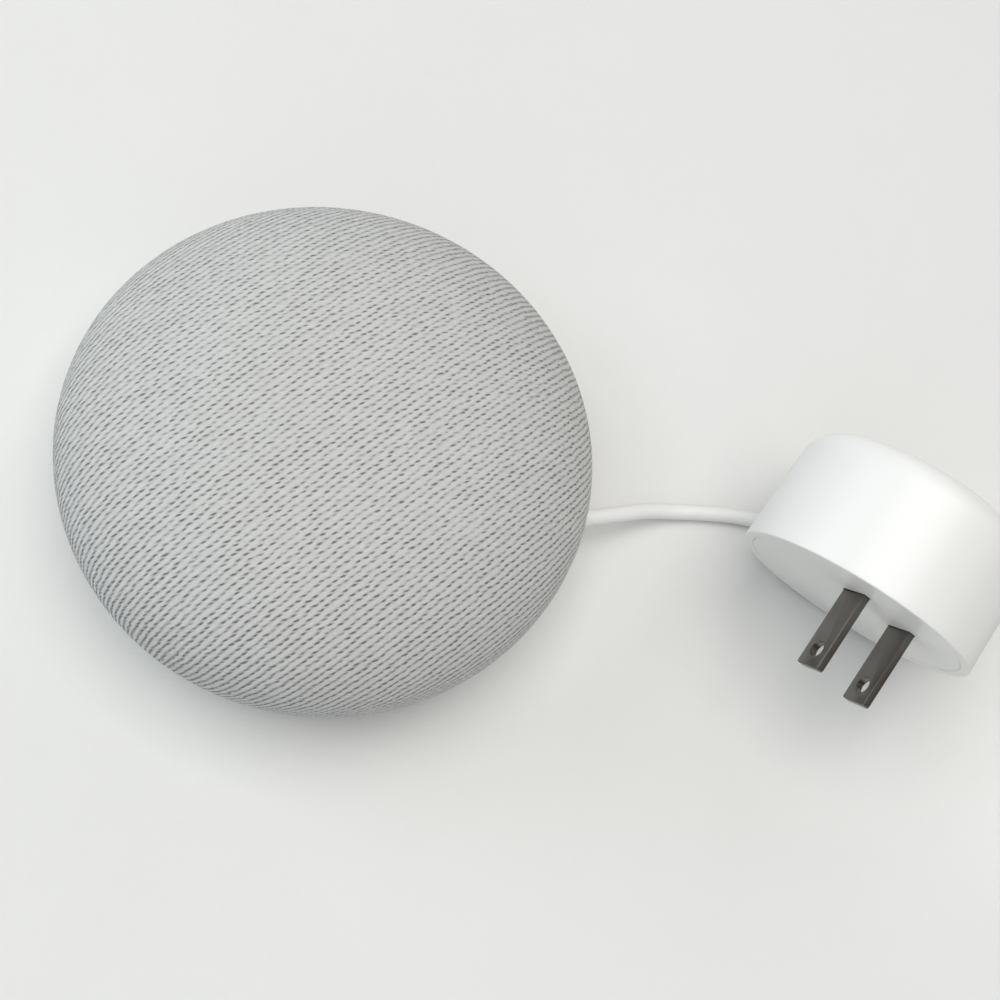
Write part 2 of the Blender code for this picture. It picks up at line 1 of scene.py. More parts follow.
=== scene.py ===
"""Finished look of the smart speaker, its lead and its wall adapter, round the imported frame."""
import json
import logging
from dataclasses import dataclass, field
from enum import Enum
from math import asin, ceil, cos, degrees, hypot, pi, radians, sin, sqrt

import bmesh
import bpy
from mathutils import Matrix, Vector


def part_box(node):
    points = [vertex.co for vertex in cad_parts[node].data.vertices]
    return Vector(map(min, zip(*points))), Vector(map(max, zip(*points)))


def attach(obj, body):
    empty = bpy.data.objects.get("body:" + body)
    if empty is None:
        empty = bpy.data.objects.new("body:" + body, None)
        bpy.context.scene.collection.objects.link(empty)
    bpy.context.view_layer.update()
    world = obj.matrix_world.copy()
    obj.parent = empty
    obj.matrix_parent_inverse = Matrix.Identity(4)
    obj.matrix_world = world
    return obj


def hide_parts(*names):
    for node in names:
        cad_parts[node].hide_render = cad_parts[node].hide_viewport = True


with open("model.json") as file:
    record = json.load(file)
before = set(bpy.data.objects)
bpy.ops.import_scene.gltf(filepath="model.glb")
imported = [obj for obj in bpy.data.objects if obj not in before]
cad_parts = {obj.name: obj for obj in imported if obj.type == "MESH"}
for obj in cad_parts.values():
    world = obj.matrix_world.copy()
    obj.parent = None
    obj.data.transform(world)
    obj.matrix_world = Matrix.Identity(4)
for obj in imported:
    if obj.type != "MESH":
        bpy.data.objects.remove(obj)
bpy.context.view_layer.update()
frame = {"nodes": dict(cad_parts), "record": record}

LOG = logging.getLogger("speaker")
Socket = bpy.types.NodeSocket
Piece = bpy.types.Object
Material = bpy.types.Material
MM = 0.001
POLE_RADIUS = 0.00001
WELD_DISTANCE = 0.00003
AT_POLE = 1e-6
Triple = tuple[float, float, float]
Profile = list[tuple[float, float]]


class Slot(Enum):
    """Material slots of the record that the pieces take their finish from."""

    FABRIC = "fabric"
    SHELL = "shell"
    RUBBER = "rubber"
    SCREW_STEEL = "screw_steel"
    STEEL = "steel"
    BLADE_METAL = "blade_metal"
    ALUMINIUM = "aluminium"
    FERRITE = "ferrite"
    CIRCUIT_BOARD = "circuit_board"
    CHIP = "chip"
    COPPER = "copper"
    CONE_PAPER = "cone_paper"
    FOAM = "foam"
    FRAME_PLASTIC = "frame_plastic"
    CLEAR_PLASTIC = "clear_plastic"
    ACCENT_PLASTIC = "accent_plastic"
    RIBBON = "ribbon"
    WHITE_PLASTIC = "white_plastic"
    LEAD_SHEATH = "lead_sheath"
    TIE_STRAP = "tie_strap"


# ---- node graphs ------------------------------------------------------------------------------
class Graph:
    """Adds and links the shader nodes of one material."""

    def __init__(self, name: str) -> None:
        """Make an empty material.

        Args:
            name: Name of the material.
        """
        self.material = bpy.data.materials.new(name)
        self.material.use_nodes = True
        self.tree = self.material.node_tree
        self.shader = self.tree.nodes["Principled BSDF"]

    def node(self, kind: str, **settings: object) -> bpy.types.Node:
        """Add a node and set its properties.

        Args:
            kind: Blender's name of the node type.
            **settings: Properties of the node.

        Returns:
            The new node.
        """
        made = self.tree.nodes.new(kind)
        for key, value in settings.items():
            setattr(made, key, value)
        return made

    def feed(self, socket: Socket, value: object) -> None:
        """Link a socket to an output, or set it to a constant.

        Args:
            socket: The input to feed.
            value: Output or constant.
        """
        if isinstance(value, Socket):
            self.tree.links.new(value, socket)
        else:
            socket.default_value = value

    def maths(self, operation: str, *values: object) -> Socket:
        """Add a Math node.

        Args:
            operation: Name of the operation.
            *values: Output or number for each input that the operation has.

        Returns:
            The node's output.
        """
        made = self.node("ShaderNodeMath", operation=operation)
        for socket, value in zip(made.inputs, values):
            self.feed(socket, value)
        return made.outputs[0]

    def times(self, first: object, second: object) -> Socket:
        """Product of two outputs or numbers."""
        return self.maths("MULTIPLY", first, second)

    def plus(self, first: object, second: object) -> Socket:
        """Sum of two outputs or numbers."""
        return self.maths("ADD", first, second)

    def minus(self, first: object, second: object) -> Socket:
        """Difference of two outputs or numbers."""
        return self.maths("SUBTRACT", first, second)

    def over(self, first: object, second: object) -> Socket:
        """Quotient of two outputs or numbers."""
        return self.maths("DIVIDE", first, second)

    def split(self, vector: Socket) -> bpy.types.NodeOutputs:
        """Take a vector apart.

        Args:
            vector: The vector's output.

        Returns:
            Its three parts.
        """
        parts = self.node("ShaderNodeSeparateXYZ")
        self.feed(parts.inputs[0], vector)
        return parts.outputs

    def blend(self, factor: object, low: object, high: object) -> Socket:
        """Mix two colours.

        Args:
            factor: Output or number from 0 to 1.
            low: Output or colour at 0.
            high: Output or colour at 1.

        Returns:
            The mixed colour's output.
        """
        made = self.node("ShaderNodeMix", data_type="RGBA")
        self.feed(made.inputs[0], factor)
        for socket, end in ((made.inputs[6], low), (made.inputs[7], high)):
            self.feed(socket, end if isinstance(end, Socket) else (*end, 1.0))
        return made.outputs[2]

    def spread(self, value: object, low: float, high: float) -> Socket:
        """Map an output from 0..1 to low..high.

        Args:
            value: Output to map.
            low: Result at 0.
            high: Result at 1.

        Returns:
            The mapped value's output.
        """
        made = self.node("ShaderNodeMapRange")
        for index, setting in ((0, value), (3, low), (4, high)):
            self.feed(made.inputs[index], setting)
        return made.outputs[0]

    def place(self, scale: Triple = (1.0, 1.0, 1.0), turn: Triple = (0.0, 0.0, 0.0)) -> Socket:
        """Object coordinates, scaled and turned.

        Args:
            scale: Scale along each axis.
            turn: Rotation in radians.

        Returns:
            The vector output.
        """
        coordinates = self.node("ShaderNodeTexCoord")
        mapping = self.node("ShaderNodeMapping")
        for name, setting in (("Vector", coordinates.outputs["Object"]), ("Scale", scale),
                              ("Rotation", turn)):
            self.feed(mapping.inputs[name], setting)
        return mapping.outputs["Vector"]

    def speckle(self, vector: Socket, scale: float, detail: float = 3.0,
                roughness: float = 0.5) -> Socket:
        """Noise of a given scale.

        Args:
            vector: Where the noise is read.
            scale: Cells per metre.
            detail: Octaves.
            roughness: Weight of the finer octaves.

        Returns:
            The noise value's output.
        """
        made = self.node("ShaderNodeTexNoise")
        for name, setting in (("Vector", vector), ("Scale", scale), ("Detail", detail),
                              ("Roughness", roughness)):
            self.feed(made.inputs[name], setting)
        return made.outputs["Fac"]

    def close(self, colour: Socket, roughness: Socket, height: Socket, depth: float,
              metallic: float = 0.0, sheen: float = 0.0, coat: float = 0.0) -> Material:
        """Wire up the shader and hand over the material.

        Args:
            colour: Colour output.
            roughness: Roughness output.
            height: Height output from 0 to 1, for the bump.
            depth: Metres from the bump's low to its high.
            metallic: 1 for bare metal.
            sheen: Weight of the soft edge light of cloth.
            coat: Weight of a clear coat.

        Returns:
            The finished material.
        """
        bump = self.node("ShaderNodeBump")
        for name, setting in (("Strength", 1.0), ("Distance", depth), ("Height", height)):
            self.feed(bump.inputs[name], setting)
        for name, setting in (("Base Color", colour), ("Roughness", roughness),
                              ("Normal", bump.outputs["Normal"]), ("Metallic", metallic),
                              ("Sheen Weight", sheen), ("Coat Weight", coat), ("IOR", 1.5)):
            self.feed(self.shader.inputs[name], setting)
        return self.material


def shade(colour: Triple, share: float) -> Triple:
    """Colour times a share of its light."""
    return tuple(c * share for c in colour)


# ---- finishes ---------------------------------------------------------------------------------
@dataclass(frozen=True)
class Moulded:
    """Moulded or cast surface with a fine spark-eroded grain and slight unevenness."""

    name: str
    colour: Triple
    roughness: float
    grain: float = 0.00002
    grain_scale: float = 2600.0
    mottle: float = 0.03
    cloud_scale: float = 60.0
    roughness_swing: float = 0.06

    def material(self) -> Material:
        """Build the node material.

        Returns:
            The material.
        """
        graph = Graph(self.name)
        where = graph.place()
        cloud = graph.speckle(where, self.cloud_scale, 2.0)
        fine = graph.speckle(where, self.grain_scale, 4.0, 0.6)
        rough = graph.spread(fine, self.roughness - self.roughness_swing,
                             self.roughness + self.roughness_swing)
        darker = shade(self.colour, 1.0 - 2.0 * self.mottle)
        return graph.close(graph.blend(cloud, darker, self.colour), rough, fine, self.grain)


@dataclass(frozen=True)
class Drawn:
    """Metal with fine parallel marks from rolling, drawing or turning."""

    name: str
    colour: Triple
    roughness: float
    stretch: Triple = (1.0, 30.0, 30.0)
    turn: Triple = (0.0, 0.0, 0.0)
    streak_scale: float = 160.0
    streak_depth: float = 0.000015
    stain_scale: float = 240.0
    stain: float = 0.72

    def material(self) -> Material:
        """Build the node material.

        Returns:
            The material.
        """
        graph = Graph(self.name)
        streaks = graph.speckle(graph.place(self.stretch, self.turn), self.streak_scale, 3.0, 0.6)
        stains = graph.speckle(graph.place(), self.stain_scale, 2.0)
        rough = graph.spread(streaks, self.roughness - 0.1, self.roughness + 0.12)
        colour = graph.blend(stains, shade(self.colour, self.stain), self.colour)
        return graph.close(colour, rough, streaks, self.streak_depth, metallic=1.0)


@dataclass(frozen=True)
class Laminate:
    """Circuit board: solder mask over copper tracks."""

    name: str
    mask: Triple = (0.015, 0.12, 0.05)
    track: Triple = (0.05, 0.26, 0.10)
    track_scale: float = 320.0
    track_gap: float = 0.06
    track_height: float = 0.00004

    def material(self) -> Material:
        """Build the node material.

        Returns:
            The material.
        """
        graph = Graph(self.name)
        bricks = graph.node("ShaderNodeTexBrick", offset=0.37)
        for name, setting in (("Vector", graph.place()), ("Scale", self.track_scale),
                              ("Mortar Size", self.track_gap)):
            graph.feed(bricks.inputs[name], setting)
        tracks = bricks.outputs["Fac"]
        rough = graph.spread(graph.speckle(graph.place(), 1200.0), 0.3, 0.5)
        return graph.close(graph.blend(tracks, self.mask, self.track), rough, tracks,
                           self.track_height, coat=0.3)


@dataclass(frozen=True)
class Webbing:
    """Narrow woven strap or pressed cloth, with painted shade in the hollows of its weave."""

    name: str
    colour: Triple
    pitch: float = 0.0007
    # Share of the colour left in the weave's hollows: painted shade.
    hollow: float = 0.55
    weave_depth: float = 0.00015

    def material(self) -> Material:
        """Build the node material.

        Returns:
            The material.
        """
        graph = Graph(self.name)
        parts = graph.split(graph.place((1.0 / self.pitch,) * 3))
        along, across, rise = (graph.maths("SINE", graph.times(part, pi)) for part in parts)
        height = graph.spread(graph.plus(graph.times(along, across), rise), 0.3, 0.8)
        rough = graph.spread(graph.speckle(graph.place(), 900.0), 0.8, 0.98)
        # Painted shade: the colour darkens where the weave's height is low.
        colour = graph.blend(height, shade(self.colour, self.hollow), self.colour)
        return graph.close(colour, rough, height, self.weave_depth, sheen=0.2)


@dataclass(frozen=True)
class KnitPattern:
    """Staggered rows of short slanting stitches, in metres on the cloth."""

    stitch_width: float = 0.00206
    row_height: float = 0.00079
    gap_length: float = 0.00048
    gap_width: float = 0.000135
    dent_share: float = 1.6
    gap_slant: float = radians(22.0)
    heading: float = radians(30.2)
    falloff: float = 2.718

    def depth(self, u: float, v: float) -> float:
        """How deep the gap between stitches is at a point, from 0 to 1.

        Args:
            u: Place along the rows.
            v: Place across the rows.

        Returns:
            1 in the middle of a gap, 0 on top of a stitch.
        """
        row = round(v / self.row_height)
        shift = 0.5 * self.stitch_width * (row % 2)
        column = round((u - shift) / self.stitch_width)
        du = u - shift - column * self.stitch_width
        dv = v - row * self.row_height
        along = du * cos(self.gap_slant) + dv * sin(self.gap_slant)
        across = dv * cos(self.gap_slant) - du * sin(self.gap_slant)
        dent_width = self.dent_share * self.gap_width
        return self.falloff ** -((along / self.gap_length) ** 2 + (across / dent_width) ** 2)


@dataclass(frozen=True)
class Knit:
    """Knitted polyester cover with painted shade in its gaps and grooves, stronger near the rim;
    its pattern follows the cloth's own UV map, in metres.
    """

    name: str
    pattern: KnitPattern
    yarn: Triple = (0.64, 0.638, 0.632)
    # Colour of the painted shade in the gaps and grooves between stitches.
    gap: Triple = (0.19, 0.20, 0.20)
    cool_tint: Triple = (0.965, 0.98, 0.985)
    dull_stitch: float = 0.90
    dull_fibre: float = 0.86
    # Random strength of the painted gap shade for each stitch.
    gap_shade_strength: tuple[float, float] = (0.35, 1.1)
    # Painted shade in the grooves: weak in the middle of the cover and strong near its rim, as
    # painted rim shade.
    groove: float = 0.13
    rim_groove_shade: float = 0.46
    groove_sharpness: float = 2.5
    # Distances from the pole over which the painted groove shade grows towards the rim.
    rim_shade_start: float = 0.030
    rim_shade_end: float = 0.056
    jitter: float = 0.0003
    wobble: Triple = (0.0011, 0.0005, 0.0)
    wobble_scale: float = 420.0
    fibre_scale: float = 5200.0
    fibre_share: float = 0.35
    fibre_rise: float = 0.25
    fuzz: float = 0.12
    tint_scale: float = 110.0
    relief: float = 0.00026

    def wobbled(self, graph: Graph, uv: Socket) -> bpy.types.NodeOutputs:
        """Cloth coordinates with the small waves of a real knit.

        Args:
            graph: The material's graph.
            uv: The cloth's UV output.

        Returns:
            Places along and across the rows.
        """
        waves = graph.speckle(uv, self.wobble_scale).node
        shift = graph.node("ShaderNodeVectorMath", operation="MULTIPLY_ADD")
        for socket, value in zip(shift.inputs, (waves.outputs["Color"], self.wobble, uv)):
            graph.feed(socket, value)
        return graph.split(shift.outputs[0])

    def gaps(self, graph: Graph, u: Socket, v: Socket) -> tuple[Socket, Socket]:
        """Painted shade in the slanting gap beside each stitch, a little out of place in each
        cell.

        Args:
            graph: The material's graph.
            u: Place along the rows.
            v: Place across the rows.

        Returns:
            Painted shade of the gaps, and a random value for each stitch.
        """
        pattern = self.pattern
        row = graph.maths("ROUND", graph.over(v, pattern.row_height))
        odd = graph.maths("FLOORED_MODULO", row, 2.0)
        slid = graph.minus(u, graph.times(odd, 0.5 * pattern.stitch_width))
        column = graph.maths("ROUND", graph.over(slid, pattern.stitch_width))
        cell = graph.node("ShaderNodeCombineXYZ")
        graph.feed(cell.inputs[0], column)
        graph.feed(cell.inputs[1], row)
        luck = graph.node("ShaderNodeTexWhiteNoise", noise_dimensions="2D")
        graph.feed(luck.inputs["Vector"], cell.outputs[0])
        aside, astray, strength = graph.split(luck.outputs["Color"])
        du = graph.plus(graph.minus(slid, graph.times(column, pattern.stitch_width)),
                        graph.spread(aside, -self.jitter, self.jitter))
        dv = graph.plus(graph.minus(v, graph.times(row, pattern.row_height)),
                        graph.spread(astray, -self.jitter / 3.0, self.jitter / 3.0))
        slant_cos, slant_sin = cos(pattern.gap_slant), sin(pattern.gap_slant)
        along = graph.plus(graph.times(du, slant_cos), graph.times(dv, slant_sin))
        across = graph.minus(graph.times(dv, slant_cos), graph.times(du, slant_sin))
        away = graph.plus(graph.maths("POWER", graph.over(along, pattern.gap_length), 2.0),
                          graph.maths("POWER", graph.over(across, pattern.gap_width), 2.0))
        spot = graph.maths("EXPONENT", graph.times(away, -1.0))
        return graph.times(spot, graph.spread(strength, *self.gap_shade_strength)), luck.outputs["Value"]

    def grooves(self, graph: Graph, uv: Socket, u: Socket, v: Socket) -> Socket:
        """Painted shade in slanting lines between the wales, made stronger towards the rim as
        painted rim shade.

        Args:
            graph: The material's graph.
            uv: The cloth's UV output.
            u: Place along the rows.
            v: Place across the rows.

        Returns:
            Painted shade of the lines.
        """
        phase = graph.minus(graph.over(v, self.pattern.row_height / pi),
                            graph.over(u, self.pattern.stitch_width / (2.0 * pi)))
        wave = graph.maths("MULTIPLY_ADD", graph.maths("COSINE", phase), 0.5, 0.5)
        reach = graph.node("ShaderNodeVectorMath", operation="LENGTH")
        graph.feed(reach.inputs[0], uv)
        # Painted rim shade: the groove shade grows with the distance from the pole.
        rim_shade_ramp = graph.node("ShaderNodeMapRange")
        for name, setting in (("Value", reach.outputs["Value"]), ("From Min", self.rim_shade_start),
                              ("From Max", self.rim_shade_end), ("To Min", self.groove),
                              ("To Max", self.rim_groove_shade)):
            graph.feed(rim_shade_ramp.inputs[name], setting)
        return graph.times(graph.maths("POWER", wave, self.groove_sharpness),
                           rim_shade_ramp.outputs["Result"])

    def material(self) -> Material:
        """Build the node material.

        Returns:
            The material.
        """
        graph = Graph(self.name)
        uv = graph.node("ShaderNodeUVMap", uv_map="cloth").outputs["UV"]
        u, v, _ = self.wobbled(graph, uv)
        stitch, luck = self.gaps(graph, u, v)
        # Mask of painted shade from the gaps and the grooves; it also sinks the bump.
        gap_and_groove_shade = graph.maths("MINIMUM", graph.plus(stitch, self.grooves(graph, uv, u, v)), 1.0)
        fibre = graph.speckle(uv, self.fibre_scale, 2.0)
        cool = tuple(c * k for c, k in zip(self.yarn, self.cool_tint))
        lit = graph.blend(graph.speckle(uv, self.tint_scale), cool, self.yarn)
        uneven = graph.blend(luck, lit, shade(self.yarn, self.dull_stitch))
        flecked = graph.blend(graph.spread(fibre, 0.0, self.fibre_share), uneven,
                              shade(self.yarn, self.dull_fibre))
        height = graph.minus(graph.times(fibre, self.fibre_rise), gap_and_groove_shade)
        # Painted shade: the yarn colour is mixed towards the gap colour by the gap and groove
        # mask.
        return graph.close(graph.blend(gap_and_groove_shade, flecked, self.gap), graph.spread(fibre, 0.86, 1.0),
                           height, self.relief, sheen=self.fuzz)


FINISHES = {
    Slot.SHELL: Moulded("shell_plastic", (0.66, 0.66, 0.655), 0.48),
    Slot.RUBBER: Moulded("silicone_rubber", (0.36, 0.37, 0.38), 0.78, 0.00004, 1800.0),
    Slot.SCREW_STEEL: Drawn("black_zinc", (0.10, 0.10, 0.11), 0.42),
    Slot.STEEL: Drawn("nickel_steel", (0.62, 0.62, 0.64), 0.32),
    # Blade colour set far darker than bright plating: painted shade for the dim surroundings that
    # the blades reflect.
    Slot.BLADE_METAL: Drawn("shade_darkened_brass", (0.22, 0.21, 0.195), 0.32, (30.0, 30.0, 1.5),
                            (radians(-52.6), 0.0, 0.0)),
    Slot.ALUMINIUM: Drawn("rolled_aluminium", (0.78, 0.79, 0.80), 0.36),
    Slot.FERRITE: Moulded("ground_ferrite", (0.05, 0.05, 0.055), 0.55, 0.00003, 900.0),
    Slot.CIRCUIT_BOARD: Laminate("board_laminate"),
    Slot.CHIP: Moulded("moulding_compound", (0.02, 0.02, 0.022), 0.55, 0.00002, 3000.0),
    Slot.COPPER: Drawn("bare_copper", (0.86, 0.42, 0.24), 0.28),
    Slot.CONE_PAPER: Webbing("pressed_paper", (0.05, 0.05, 0.055), 0.0005),
    Slot.FOAM: Moulded("cell_foam", (0.05, 0.05, 0.05), 0.92, 0.00020, 1500.0),
    Slot.FRAME_PLASTIC: Moulded("glass_filled_nylon", (0.045, 0.045, 0.05), 0.62),
    Slot.CLEAR_PLASTIC: Moulded("frosted_guide", (0.86, 0.87, 0.89), 0.25),
    Slot.ACCENT_PLASTIC: Moulded("switch_plastic", (0.78, 0.25, 0.07), 0.42),
    Slot.RIBBON: Webbing("resin_cloth", (0.62, 0.33, 0.10), 0.0006),
    Slot.WHITE_PLASTIC: Moulded("white_plastic", (0.90, 0.90, 0.885), 0.34, 0.000006, 1400.0,
                                0.008),
    Slot.LEAD_SHEATH: Moulded("lead_sheath", (0.88, 0.88, 0.87), 0.42, 0.00001, 1500.0, 0.01),
    Slot.TIE_STRAP: Webbing("tie_strap", (0.16, 0.16, 0.17)),
}
KNIT = KnitPattern()
SOCKET_HEADING = radians(36.0)
LEAD_HEADING = Vector((cos(SOCKET_HEADING), sin(SOCKET_HEADING), 0.0))


# ---- modelling helpers ------------------------------------------------------------------------
class Bench:
    """Operator helpers that leave one selected, active object at the origin."""

    @staticmethod
    def clear() -> None:
        """Leave edit mode and deselect everything."""
        if bpy.context.object and bpy.context.object.mode != "OBJECT":
            bpy.ops.object.mode_set(mode="OBJECT")
        bpy.ops.object.select_all(action="DESELECT")

    @staticmethod
    def pick(item: Piece) -> None:
        """Make one object the only selected, active one.

        Args:
            item: The object.
        """
        Bench.clear()
        item.select_set(True)
        bpy.context.view_layer.objects.active = item

    @staticmethod
    def settle(item: Piece, place: Matrix | None = None) -> Piece:
        """Move a piece to its place and put that place in its mesh.

        Args:
            item: The piece.
            place: Extra placement in the row frame.

        Returns:
            The same piece.
        """
        Bench.pick(item)
        if place is not None:
            item.matrix_world = place @ item.matrix_world
        bpy.ops.object.transform_apply(location=True, rotation=True, scale=True)
        return item

    @staticmethod
    def apply(item: Piece) -> None:
        """Apply every modifier of a piece.

        Args:
            item: The piece.
        """
        Bench.pick(item)
        for change in list(item.modifiers):
            bpy.ops.object.modifier_apply(modifier=change.name)

    @staticmethod
    def edit() -> None:
        """Enter edit mode with everything selected."""
        bpy.ops.object.mode_set(mode="EDIT")
        bpy.ops.mesh.select_all(action="SELECT")

    @staticmethod
    def block(name: str, size: Triple) -> Piece:
        """Cube scaled to a size, at the origin.

        Args:
            name: Name of the piece.
            size: Lengths along X, Y and Z.

        Returns:
            The piece.
        """
        Bench.clear()
        bpy.ops.mesh.primitive_cube_add(size=1.0)
        item = bpy.context.object
        item.name = name
        item.scale = size
        bpy.ops.object.transform_apply(scale=True)
        return item

    @staticmethod
    def lathe(name: str, profile: Profile, sides: int = 128,
              place: Matrix | None = None, sharp: float = 30.0) -> Piece:
        """Raise a circle along a profile by extruding, scaling and closing it.

        Args:
            name: Name of the piece.
            profile: (radius, height) points in metres; a radius of 0 closes at a pole.
            sides: Sides of the circle.
            place: Placement in the row frame.
            sharp: Angle in degrees above which an edge stays sharp.

        Returns:
            The finished piece.
        """
        points = [(max(r, POLE_RADIUS), z) for r, z in profile]
        closed = profile[0][0] > 0.0
        Bench.clear()
        bpy.ops.mesh.primitive_circle_add(vertices=sides, radius=points[0][0],
                                          location=(0, 0, points[0][1]))
        item = bpy.context.object
        item.name = name
        bpy.ops.object.transform_apply(location=True)
        Bench.edit()
        loop = points[1:] + ([points[0]] if closed else [])
        before = points[0]
        for radius, height in loop:
            bpy.ops.mesh.extrude_region_move(
                TRANSFORM_OT_translate={"value": (0, 0, height - before[1])})
            share = radius / before[0]
            bpy.ops.transform.resize(value=(share, share, 1.0), center_override=(0, 0, height))
            before = (radius, height)
        bpy.ops.mesh.select_all(action="SELECT")
        bpy.ops.mesh.remove_doubles(threshold=WELD_DISTANCE)
        bpy.ops.mesh.normals_make_consistent(inside=False)
        bpy.ops.object.mode_set(mode="OBJECT")
        Bench.settle(item, place)
        bpy.ops.object.shade_smooth_by_angle(angle=radians(sharp))
        return item

    @staticmethod
    def slab(name: str, size: Triple, bevel: float, segments: int = 3,
             place: Matrix | None = None) -> Piece:
        """Cube shaped into a slab with rounded edges.

        Args:
            name: Name of the piece.
            size: Lengths along X, Y and Z.
            bevel: Radius of the edges.
            segments: Segments of the rounding.
            place: Placement in the row frame.

        Returns:
            The finished piece.
        """
        item = Bench.block(name, size)
        if bevel > 0.0:
            Bench.edit()
            bpy.ops.mesh.bevel(offset=bevel, segments=segments, profile=0.5)
            bpy.ops.object.mode_set(mode="OBJECT")
        Bench.settle(item, place)
        bpy.ops.object.shade_smooth_by_angle(angle=radians(35.0))
        return item

    @staticmethod
    def cut(item: Piece, tool: Piece) -> None:
        """Cut a tool out of a piece and throw the tool away.

        Args:
            item: The piece.
            tool: The shape to cut with.
        """
        change = item.modifiers.new("cut", "BOOLEAN")
        change.operation = "DIFFERENCE"
        change.solver = "EXACT"
        change.object = tool
        Bench.apply(item)
        bpy.data.objects.remove(tool, do_unlink=True)
        Bench.pick(item)
        bpy.ops.object.shade_smooth_by_angle(angle=radians(30.0))

    @staticmethod
    def dress(item: Piece, material: Material, slot: Slot, body: str,
              *nodes: str) -> None:
        """Give a piece its finish and join it to the frame.

        Args:
            item: The piece.
            material: Its material.
            slot: The record's slot; not used.
            body: The body it rides on.
            *nodes: CAD nodes that it replaces.
        """
        item.data.materials.clear()
        item.data.materials.append(material)
        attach(item, body)
        if nodes:
            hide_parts(*nodes)
        LOG.info("%s: %d faces", item.name, len(getattr(item.data, "polygons", ())))


def along(origin: Vector, direction: Vector) -> Matrix:
    """Placement whose Z runs along a direction."""
    turn = direction.normalized().to_track_quat("Z", "Y").to_matrix().to_4x4()
    return Matrix.Translation(origin) @ turn


def upright(x: float, y: float, z: float, turn: float = 0.0) -> Matrix:
    """Placement in millimetres with a turn about Z."""
    return Matrix.Translation(Vector((x, y, z)) * MM) @ Matrix.Rotation(turn, 4, "Z")


def scaled(profile: Profile) -> Profile:
    """Profile from millimetres to metres."""
    return [(r * MM, z * MM) for r, z in profile]


def quadrant(centre: tuple[float, float], radii: tuple[float, float], start: float, end: float,
             steps: int) -> Profile:
    """Points on part of an ellipse.

    Args:
        centre: Radius and height of the centre.
        radii: Semi-axes.
        start: First angle in degrees.
        end: Last angle in degrees.
        steps: Number of steps.

    Returns:
        The points, both ends included.
    """
    angles = [radians(start + (end - start) * i / steps) for i in range(steps + 1)]
    return [(centre[0] + radii[0] * cos(a), centre[1] + radii[1] * sin(a)) for a in angles]


# ---- speaker ----------------------------------------------------------------------------------
class Arc:
    """Profile that can be read at an arc length."""

    def __init__(self, profile: Profile) -> None:
        """Measure the profile.

        Args:
            profile: (radius, height) points.
        """
        self.profile = profile
        self.lengths = [0.0]
        for (r0, z0), (r1, z1) in zip(profile, profile[1:]):
            self.lengths.append(self.lengths[-1] + hypot(r1 - r0, z1 - z0))
        self.reach = self.lengths[-1]

    def at(self, s: float) -> tuple[float, ...]:
        """Read the profile.

        Args:
            s: Arc length from its start.

        Returns:
            Radius, height, and the outward normal's two parts.
        """
        low, high = 0, len(self.lengths) - 1
        while high - low > 1:
            middle = (low + high) // 2
            low, high = (middle, high) if self.lengths[middle] <= s else (low, middle)
        (r0, z0), (r1, z1) = self.profile[low], self.profile[high]
        span = self.lengths[high] - self.lengths[low]
        t = (s - self.lengths[low]) / span
        return r0 + (r1 - r0) * t, z0 + (z1 - z0) * t, -(z1 - z0) / span, (r1 - r0) / span


